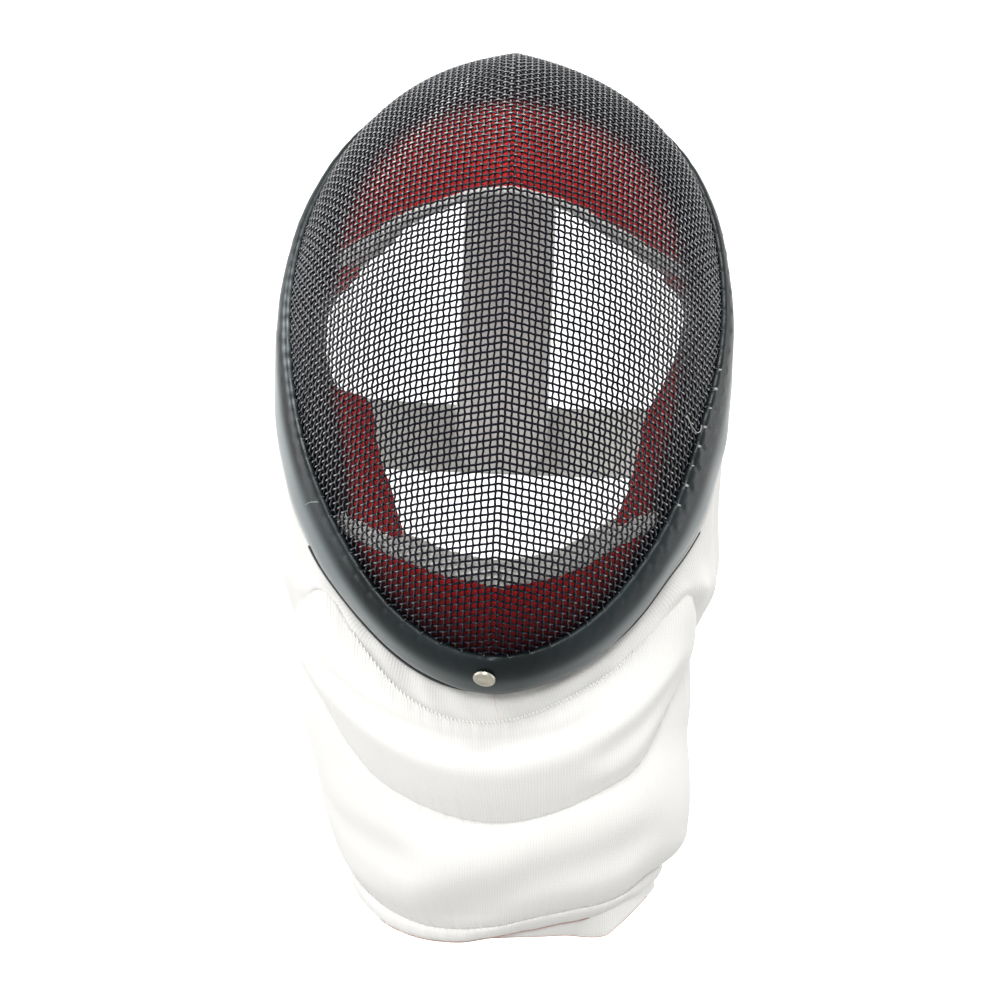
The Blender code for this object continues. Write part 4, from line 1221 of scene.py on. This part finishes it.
def cloth_uv(item, u, v):
    """Cloth map in metres: u runs round the bib and v down it."""
    layer_uv = item.data.uv_layers.new(name="cloth")
    corner = np.empty(len(item.data.loops), dtype=np.int32)
    item.data.loops.foreach_get("vertex_index", corner)
    flat = np.stack([u.ravel()[corner], v.ravel()[corner]], axis=-1)
    layer_uv.data.foreach_set("uv", np.ascontiguousarray(flat, dtype=np.float32).ravel())


# White ribbed cotton: vertical ribs 1.3 mm apart, each a row of knitted loops 1.5 mm long, matt
# with a soft sheen, with painted shade in its grooves, and a little greyer where it has been handled.
white_cloth, tree, shader, where = new_material("white_ribbed_cotton")
plane = add_node(tree, "UVMap", uv_map="cloth")
bend = add_node(tree, "TexNoise", Vector=where, Scale=26.0, Detail=1.0)
parts = add_node(tree, "SeparateXYZ", Vector=plane)
sway = add_node(tree, "Math", operation="MULTIPLY", _0=bend, _1=0.0016)
ribs = add_node(tree, "Math", operation="ADD", _0=parts.outputs[0], _1=sway)
ribs = add_node(tree, "Math", operation="MULTIPLY", _0=ribs, _1=2 * pi / RIB_PITCH)
rib = add_node(tree, "Math", operation="SINE", _0=ribs)
rows = add_node(tree, "Math", operation="MULTIPLY", _0=parts.outputs[1], _1=2 * pi / KNIT_LENGTH)
row = add_node(tree, "Math", operation="SINE", _0=rows)
loops = add_node(tree, "Math", operation="MULTIPLY", _0=rib, _1=row)
loops = add_node(tree, "Math", operation="MULTIPLY_ADD", _0=loops, _1=0.35, _2=rib)
fibres = add_node(tree, "TexNoise", Vector=where, Scale=2600.0, Detail=2.0)
knit = add_node(tree, "Math", operation="ADD", _0=loops, _1=fibres)
handled = add_node(tree, "TexNoise", Vector=where, Scale=30.0, Detail=3.0)
tone = add_node(tree, "Mix", data_type="RGBA", _0=handled, _6="#dddcda", _7="#d7d6d2")
# Painted shade darkens the grooves between the ribs.
groove_shade = add_node(tree, "MapRange", Value=loops, From_Min=-1.3, From_Max=0.3, To_Min=0.17, To_Max=0.0)
tone = add_node(tree, "Mix", data_type="RGBA", _0=groove_shade, _6=tone, _7="#a9a8a1")
grain = add_node(tree, "Bump", Height=knit, Strength=0.22, Distance=0.0003)
fill_inputs(tree, shader, Base_Color=tone, Roughness=0.85, Sheen_Weight=0.15, Specular_IOR_Level=0.2,
            Normal=grain)

# Collar: from behind the rim down to the first seam, straight between the two but for a bow.
share = np.linspace(-1.0, 1.0, TIER_COLUMNS)
theta = BIB_END * share
phi = np.radians(-90.0 + (90.0 + COLLAR_TOP_PHI) * share)
outward = bib_outward(theta)
end_psi = rim_psi(RIM_END, phi)
back = unit(bowl(end_psi + STEP, phi) - bowl(end_psi, phi))
facing = np.abs(np.sum(back * outward, axis=-1))
top = layer(rim_psi(RIM_END + COLLAR_CLEARANCE + 0.5 * COLLAR_WALL * facing, phi), phi,
            np.array(-0.001))
# The seam's step dies away at the two tips of the first tier, where the layers lie flush.
step_down = SEAM_STEP * (1.0 - 1.5 * flush_tips(theta))
foot = bib_point(theta, seam(SEAM_ONE, theta) + SEAM_LAP, -0.5 * COLLAR_WALL - step_down)
fall = np.linspace(0.0, 1.0, COLLAR_ROWS)[None, :, None]
bow = COLLAR_BOW * np.sin(pi * fall) * np.abs(share)[:, None, None]
tension = ripple(share[:, None, None], fall, (
    (0.0005, 31.0, 2.0, 0.4), (0.0004, 53.0, -3.0, 2.2), (0.0003, 17.0, 6.0, 1.1)))
sheet = top[:, None, :] * (1.0 - fall) + foot[:, None, :] * fall
# The collar bags out over the first tier's two tips, and more at the right.
bag = np.where(share > 0.0, BAG_RIGHT, BAG_LEFT)
bag = bag * smooth((np.abs(np.degrees(theta)) - BAGS_FROM) / BAGS_OVER)
bag = bag[:, None, None] * bell((fall - BAG_AT) / BAG_OVER) * np.sin(pi * fall) ** 0.4
sheet = sheet + (bow + bag + tension * np.sin(pi * fall)) * outward[:, None, :]
full = round_ends(fall, 0.05) * round_ends(1.0 - fall, 0.05)
half = 0.5 * COLLAR_WALL * full * outward[:, None, :]
collar_front = sheet + half
points, quads = padded_wall(collar_front, sheet - half)
collar = new_piece("bib_collar_cloth", points, quads, white_cloth)
round_bib = np.broadcast_to(theta[:, None] * BIB_RADIUS, (TIER_COLUMNS, 2 * COLLAR_ROWS))
cloth_uv(collar, round_bib, out_and_home(sheet[..., 2], sheet[..., 2]))
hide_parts("bib_collar")
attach(collar, "root")

# The two tiers: billows between seams, with the folds that they hang in.
# Columns of a fold: height, width, fade in degrees, line as degrees from the front and drop.
UPPER_FOLDS = (
    (-0.0018, 0.0042, 12.0, ((-53.5, 0.1490), (-41.6, 0.1609), (-28.8, 0.1698), (-17, 0.1740),
                             (-5.9, 0.1754), (5.2, 0.1742), (16.6, 0.1699), (29, 0.1610))),
    (0.0014, 0.0068, 12.0, ((-69.9, 0.1456), (-52.8, 0.1600), (-38.2, 0.1741), (-26.1, 0.1816),
                            (-14.6, 0.1852), (-0.9, 0.1860), (10.1, 0.1826), (21.8, 0.1759),
                            (34.6, 0.1651), (46.4, 0.1537), (61.4, 0.1381))),
    (-0.0015, 0.0056, 8.0, ((28.2, 0.1791), (39, 0.1700), (49.8, 0.1596), (64.8, 0.1451))),
    (0.0009, 0.0060, 8.0, ((24.8, 0.1899), (34.9, 0.1859), (42.6, 0.1776), (51.9, 0.1651))),
)
LOWER_FOLDS = (
    (-0.0018, 0.0078, 9.0, ((-74.2, 0.2096), (-61.4, 0.2175), (-50.3, 0.2225), (-41.4, 0.2262),
                            (-33.5, 0.2283))),
    (0.0013, 0.0085, 10.0, ((-70.4, 0.2405), (-49.2, 0.2450), (-35.1, 0.2445), (-23.4, 0.2404))),
    (-0.0031, 0.0100, 12.0, ((-23.8, 0.2511), (-13.1, 0.2464), (-3.5, 0.2414), (5.8, 0.2346),
                             (15.1, 0.2304), (25, 0.2262), (35.8, 0.2217), (48.2, 0.2150))),
    (0.0004, 0.0080, 10.0, ((15.9, 0.2406), (29.9, 0.2390), (45.6, 0.2316))),
)
# Each seam laps: the upper edge of a lap stands proud of the one that it covers.
LAP_REACH = 0.0022
LAP_WALL = 0.0012
# Columns: name, node, end, seam above, seam below, billow, folds, how far the upper edge runs
# past its seam and stands proud, the same of the lower edge, and how far the cloth draws in over
# the last 8 mm above it.
TIERS = (
    ("bib_upper_tier_cloth", "bib_upper_tier", TIER_TIP, SEAM_ONE, SEAM_TWO, 0.0070, UPPER_FOLDS,
     0.0006, 0.0007, 0.0006, 0.0006, 0.0),
    ("bib_lower_tier_cloth", "bib_lower_tier", BIB_END, SEAM_TWO, HEM_SEAM, 0.0060, LOWER_FOLDS,
     0.0012, -0.0012, 0.0012, 0.0, 0.0036),
)
DRAW_REACH = 0.0078
SWELL_SKEW = 0.92
SAG_LEFT = 0.24
SAG_FROM = 5.0
SAG_OVER = 32.0
FULL_TIER_HEIGHT = 0.040
PUCKER_REACH = 0.12
EDGE_ROUND = 0.0006
for (piece_name, node, end, above, below, billow, fold_table, over_top, top_proud, over_foot,
     foot_proud, draw) in TIERS:
    theta = np.linspace(-end, end, TIER_COLUMNS)[:, None]
    share = 0.5 - 0.5 * np.cos(pi * np.linspace(0.0, 1.0, TIER_ROWS))[None, :]
    share = 0.45 * share + 0.55 * np.linspace(0.0, 1.0, TIER_ROWS)[None, :]
    top = seam(above, theta) - over_top
    bottom = seam(below, theta) + over_foot
    drop = top + (bottom - top) * share
    near_top = np.exp(-(drop - top) / LAP_REACH)
    near_foot = np.exp(-(bottom - drop) / LAP_REACH)
    tall = np.clip((bottom - top) / FULL_TIER_HEIGHT, 0.03, 1.0)
    # The left half of the upper tier sags lower between its seams.
    sag = SAG_LEFT * smooth((SAG_FROM - np.degrees(theta)) / SAG_OVER) * (node == "bib_upper_tier")
    skew = SWELL_SKEW + sag
    swell = billow * tall * np.sin(pi * share**skew) ** 0.8
    swell = swell - draw * np.exp(-(bottom - drop) / DRAW_REACH)
    crease = folds(theta, drop, fold_table) * tall * np.minimum(1.0, 2.2 * np.sin(pi * share))
    puckers = ripple(theta, drop, (
        (0.00016, 83.0, 60.0, 0.2), (0.00014, 51.0, -90.0, 2.7), (0.00012, 127.0, 30.0, 4.1)))
    puckers = puckers * np.exp(-np.minimum(share, 1.0 - share) / PUCKER_REACH)
    lap = top_proud * near_top * (1.0 - 0.9 * flush_tips(theta)) + foot_proud * near_foot
    thin = np.clip(near_top + near_foot, 0.0, 1.0)
    deep = BIB_WALL + (LAP_WALL - BIB_WALL) * thin
    ends = round_ends(drop - top, EDGE_ROUND) * round_ends(bottom - drop, EDGE_ROUND)
    face = swell + crease + puckers + lap
    lining_face = 0.5 * swell + 0.4 * crease + lap - deep
    middle = 0.5 * (face + lining_face)
    outer = bib_point(theta, drop, middle + (face - middle) * ends)
    inner = bib_point(theta, drop, middle + (lining_face - middle) * ends)
    points, quads = padded_wall(outer, inner)
    tier = new_piece(piece_name, points, quads, white_cloth)
    round_bib = np.broadcast_to(theta * BIB_RADIUS, drop.shape)
    cloth_uv(tier, out_and_home(round_bib, round_bib), out_and_home(drop, drop))
    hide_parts(node)
    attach(tier, "root")

# Hem: the cloth's edge turned under and bound, a soft band 5 to 9 mm deep.
HEM_SIDES = 24
HEM_WALL = 0.0044
HEM_LEAN = 0.0042
HEM_TUCK = 0.0010
HEM_TUCK_REACH = 0.0014
HEM_RADIUS = 0.085
LEAN_FROM = -22.0
LEAN_TO = 62.0


def hem_lean(theta):
    """How far the hem's foot leans in under the bib, so that it lies in shade at the right."""
    degrees = np.degrees(theta)
    return HEM_LEAN * smooth((degrees - LEAN_FROM) / 30.0) * smooth((LEAN_TO - degrees) / 20.0)


theta = np.linspace(-BIB_END, BIB_END, TIER_COLUMNS)[:, None]
turn = turns(HEM_SIDES)[None, :]
top = seam(HEM_SEAM, theta) - 0.0006
bottom = seam(HEM_FOOT, theta)
drop = 0.5 * (top + bottom) - 0.5 * (bottom - top) * squared_off(np.cos(turn), 0.8)
creep = ripple(theta, drop, ((0.00016, 43.0, 0.0, 0.5), (0.00008, 91.0, 0.0, 2.0)))
proud = 0.5 * HEM_WALL * squared_off(np.sin(turn), 0.95) - 0.5 * BIB_WALL
shrink = round_ends((BIB_END - np.abs(theta)) / BIB_END, 0.02) * 0.9 + 0.1
tucked = HEM_TUCK * np.exp(-(drop - top) / HEM_TUCK_REACH) * (np.sin(turn) > 0.0)
proud = (proud - tucked) * shrink + creep - hem_lean(theta) * (drop - top) / (bottom - top)
quads = capped(TIER_COLUMNS, HEM_SIDES)
hem_band = new_piece("bib_hem_binding", bib_point(theta, drop, proud), quads, white_cloth)
cloth_uv(hem_band, np.broadcast_to(theta * HEM_RADIUS, drop.shape), drop)
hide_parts("bib_hem")
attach(hem_band, "root")

# Facing: the cloth behind the hem hangs lower at the right, where the hem's corner has turned up.
FACING_WALL = 0.0014
FACING_ROWS = 14
FACING_COLUMNS = 220
FACING_FROM = -18.5
FACING_TO = 97.0
FACING_LAP = 0.0045
FACING_LEAST = 0.003
FACING_DEPTH = 0.0056
FACING_END_ROUND = 1.5


def turned_up(theta):
    """0 at the left and the middle of the facing, and 1 where the hem's corner has turned up."""
    return smooth((np.degrees(theta) - 28.0) / 12.0)


theta = np.radians(np.linspace(FACING_FROM, FACING_TO, FACING_COLUMNS))[:, None]
share = np.linspace(0.0, 1.0, FACING_ROWS)[None, :]
top = seam(HEM_FOOT, theta) - FACING_LAP
bottom = np.maximum(seam(FACING_FOOT, theta), top + FACING_LEAST)
drop = top + (bottom - top) * share
forward = turned_up(theta)
middle = -FACING_DEPTH - 0.0026 * (1.0 - forward) * share + 0.0054 * forward * share
ends = round_ends(share, 0.08) * round_ends(1.0 - share, 0.08)
from_end = np.degrees(np.minimum(theta - theta[0], theta[-1] - theta))
ends = ends * (0.1 + 0.9 * round_ends(from_end, FACING_END_ROUND))
points, quads = padded_wall(bib_point(theta, drop, middle + 0.5 * FACING_WALL * ends),
                            bib_point(theta, drop, middle - 0.5 * FACING_WALL * ends))
facing = new_piece("bib_hem_facing", points, quads, white_cloth)
cloth_uv(facing, np.broadcast_to(theta * HEM_RADIUS, (FACING_COLUMNS, 2 * FACING_ROWS)),
         out_and_home(drop, drop))
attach(facing, "root")

# ==== Stitching of the bib ====
# White overlock along the first seam, its loops 1.8 mm apart, a run of lockstitch over the hem,
# and a thread of rusty brown left along the lower edges of the hem and its facing.
# Polyester thread: white, faintly glossy, its ply a twist 0.4 mm long.
white_thread = thread_material("white_polyester_thread", "#e4e4e0", "#f4f4f2", 0.6, 2500.0, 1.0, 0.3)
# The same thread dyed a rusty brown and faded pink, in stretches about 14 mm long.
rusty_thread = thread_material("faded_brown_thread", "#8f5a4c", "#d3b0a4", 0.7, 70.0, 2.0)

LOOP_PITCH = 0.0018
LOOP_REACH = 0.0010
LOOP_POINTS = 8
THREAD_IN_BIB = 0.00025
SEAM_END = radians(44.0)
SEAM_RADIUS = 0.092
FINE_SIDES = 6


def sewn(name, points, quads, material):
    """Piece of thread in or on the bib."""
    thread = new_piece(name, points, quads, material)
    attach(thread, "root")


def even_cord(path, outward, radius):
    """Round cord of one radius all along a path."""
    return cord_surface(path, outward, np.full((len(path), FINE_SIDES), radius))


loop_count = int(2 * SEAM_END * SEAM_RADIUS / LOOP_PITCH)
walk = np.arange(loop_count * LOOP_POINTS + 1) / LOOP_POINTS
theta = -SEAM_END + 2 * SEAM_END * walk / loop_count
sway = np.sin(2 * pi * walk)
drop = seam(SEAM_ONE, theta) - 0.0004 + LOOP_REACH * sway
proud = 0.0004 + 0.0002 * np.cos(2 * pi * walk) + 0.0005 * np.maximum(sway, 0.0)
path = bib_point(theta, drop, proud)
sewn("collar_overlock", *even_cord(path, bib_outward(theta), THREAD_IN_BIB), white_thread)

LOCK_END = radians(96.0)
LOCK_RADIUS = 0.082
LOCK_PITCH = 0.0032
LOCK_LENGTH = 0.0024
stitch_total = int(2 * LOCK_END * LOCK_RADIUS / LOCK_PITCH)
centre = -LOCK_END + 2 * LOCK_END * (np.arange(stitch_total) + 0.5) / stitch_total
walk = np.linspace(-0.5, 0.5, 7)[None, :]
theta = centre[:, None] + walk * LOCK_LENGTH / LOCK_RADIUS
path = bib_point(theta, seam(HEM_SEAM, theta) - 0.0001, -0.0012 - 0.0012 * walk**2)
outward = bib_outward(theta)
across = frames(path, outward)[0]
sewn("hem_lockstitch", *tubes(path, 0.8 * THREAD_IN_BIB, across, outward, FINE_SIDES), white_thread)

EDGE_THREAD = 0.00022
STRAY_THREAD = 0.00012
# Columns: name, degrees from, degrees to, foot that it follows, how proud at each end.
EDGE_THREADS = (
    ("hem_edge_thread", -58.0, 36.0, HEM_FOOT, -0.0010, -0.0010),
    ("facing_edge_thread", -12.0, 70.0, FACING_FOOT, -0.0082, -0.0002),
)
for piece_name, start, end, foot_table, first, last in EDGE_THREADS:
    theta = np.radians(np.linspace(start, end, 260))
    rise = turned_up(theta) if foot_table is FACING_FOOT else 0.0 * theta
    if foot_table is HEM_FOOT:
        first = first - hem_lean(theta)
    path = bib_point(theta, seam(foot_table, theta) + 0.0001, first + (last - first) * rise)
    sewn(piece_name, *even_cord(path, bib_outward(theta), EDGE_THREAD), rusty_thread)

# A stray length of a finer, pinker thread clings to the middle of the collar.
pink_thread = thread_material("faded_pink_thread", "#c9a49b", "#e8d5cf", 0.7, 90.0, 2.0)
down = np.linspace(0.06, 0.80, 50)
row = down * (COLLAR_ROWS - 1)
column = TIER_COLUMNS // 2 - 1
path = np.stack([np.interp(row, np.arange(COLLAR_ROWS), collar_front[column, :, k])
                 for k in range(3)], axis=-1)
path[:, 0] += 0.0022 * down + 0.0003 * np.sin(9.0 * down)
path[:, 1] -= 0.0001
sewn("stray_thread", *even_cord(path, np.array([0.0, -1.0, 0.0]), STRAY_THREAD), pink_thread)

# ==== Tongue at the back ====
# A sprung steel strip in a padded sleeve of white cloth, clamped under the rim at the crown and
# bent down behind it. It is out of sight in the picture, and is finished plainly.
TONGUE_WIDTH = 0.046
TONGUE_THICKNESS = 0.006
TONGUE_CLEARANCE = 0.0006
# Columns: y, z of the tongue's middle line, from below its root at the rim to its free end.
TONGUE_LINE = (
    (0.076, -0.012), (0.086, -0.034), (0.092, -0.066), (0.09, -0.1), (0.087, -0.132), (0.086, -0.16),
    (0.086, -0.174),
)
TONGUE_STEPS = 150
TONGUE_SIDES = 40
# Shares of the tongue's half thickness and half width.
CHANNEL_DEPTH = 0.22
CHANNEL_AT = 0.84
CHANNEL_REACH = 0.035

crown = np.array(pi / 2.0)
root = layer(rim_psi(RIM_END + TONGUE_CLEARANCE, crown), crown, np.array(-0.001))
points = np.array([root[1:].tolist(), *TONGUE_LINE])
spot = run_length(points)
line = eased(np.column_stack([spot, points]), np.linspace(0.0, spot[-1], TONGUE_STEPS))
tongue_path = np.column_stack([np.zeros(TONGUE_STEPS), line])
along = unit(np.gradient(tongue_path, axis=0))
across = np.array([1.0, 0.0, 0.0])
outward = unit(np.cross(along, across))
turn = turns(TONGUE_SIDES)[None, :]
walk = np.linspace(0.0, 1.0, TONGUE_STEPS)[:, None]
flat = squared_off(np.cos(turn), 0.35)
deep = squared_off(np.sin(turn), 0.75)
# A channel runs down both sides, where the sleeve is sewn, and the padding is quilted in rows.
channel = 1.0 - CHANNEL_DEPTH * bell((np.abs(flat) - CHANNEL_AT) / CHANNEL_REACH)
quilt = 1.0 + 0.06 * np.sin(2 * pi * walk * 9.0 + 0.5) + 0.04 * np.sin(41.0 * walk + 3.0 * flat)
end_round = round_ends(1.0 - walk, 0.08) * 0.94 + 0.06
wide = 0.5 * TONGUE_WIDTH * flat * (round_ends(1.0 - walk, 0.10) * 0.6 + 0.4)
thick = 0.5 * TONGUE_THICKNESS * deep * channel * quilt * end_round * round_ends(walk, 0.01)
points = (tongue_path[:, None, :] + wide[..., None] * across
          + thick[..., None] * outward[:, None, :])
tongue = new_piece("tongue_sleeve", points, capped(TONGUE_STEPS, TONGUE_SIDES), white_cloth)
cloth_uv(tongue, wide, np.broadcast_to(walk * spot[-1], wide.shape))
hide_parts("back_tongue")
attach(tongue, "root")

# ==== Strap at the back ====
# White elastic webbing 34 mm wide, from cheek to cheek in a loop round the back. Its rubber
# cores show as ribs along it. It is out of sight in the picture, and is finished plainly.
STRAP_WIDTH = 0.034
STRAP_THICKNESS = 0.0022
STRAP_PHI = radians(-16.0)
STRAP_SETBACK = 0.016
STRAP_INSET = 0.0136
STRAP_BACK_Y = 0.0950
STRAP_POWER = 2.4
STRAP_STEPS = 220
STRAP_SIDES = 48
CORE_PITCH = 0.0024
ROW_PITCH = 0.0011
CORE_HEIGHT = 0.08

# White elastic webbing: knitted over rubber cores 2.4 mm apart, with cross rows every 1.1 mm.
elastic, tree, shader, where = new_material("white_elastic_webbing")
plane = add_node(tree, "UVMap", uv_map="cloth")
parts = add_node(tree, "SeparateXYZ", Vector=plane)
cores = add_node(tree, "Math", operation="MULTIPLY", _0=parts.outputs[0], _1=2 * pi / CORE_PITCH)
core = add_node(tree, "Math", operation="SINE", _0=cores)
rows = add_node(tree, "Math", operation="MULTIPLY", _0=parts.outputs[1], _1=2 * pi / ROW_PITCH)
row = add_node(tree, "Math", operation="SINE", _0=rows)
knit = add_node(tree, "Math", operation="MULTIPLY_ADD", _0=row, _1=0.3, _2=core)
soil = add_node(tree, "TexNoise", Vector=where, Scale=50.0, Detail=3.0)
tone = add_node(tree, "Mix", data_type="RGBA", _0=soil, _6="#d4d4cf", _7="#c7c7c1")
grain = add_node(tree, "Bump", Height=knit, Strength=0.5, Distance=0.0003)
fill_inputs(tree, shader, Base_Color=tone, Roughness=0.8, Normal=grain)

start = layer(rim_psi(STRAP_SETBACK, np.array(STRAP_PHI)), np.array(STRAP_PHI),
              np.array(-STRAP_INSET))
bend = np.linspace(0.0, pi, STRAP_STEPS)
shape = 2.0 / STRAP_POWER
x = start[0] * squared_off(np.cos(bend), shape)
y = start[1] + (STRAP_BACK_Y - start[1]) * np.sin(bend) ** shape
strap_path = np.column_stack([x, y, np.full(STRAP_STEPS, start[2])])
along = unit(np.gradient(strap_path, axis=0))
upward = np.array([0.0, 0.0, 1.0])
outward = unit(np.cross(upward, along))
turn = turns(STRAP_SIDES)[None, :]
deep = squared_off(np.sin(turn), 0.35)
wide = 0.5 * STRAP_WIDTH * squared_off(np.cos(turn), 0.25)
core_ribs = 1.0 + CORE_HEIGHT * np.cos(2 * pi * wide / CORE_PITCH)
points = (strap_path[:, None, :] + wide[..., None] * upward
          + (0.5 * STRAP_THICKNESS * deep * core_ribs)[..., None] * outward[:, None, :])
strap = new_piece("strap_webbing", points, capped(STRAP_STEPS, STRAP_SIDES), elastic)
cloth_uv(strap, np.broadcast_to(wide, points.shape[:2]),
         np.broadcast_to(run_length(strap_path)[:, None], points.shape[:2]))
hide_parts("back_strap")
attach(strap, "root")
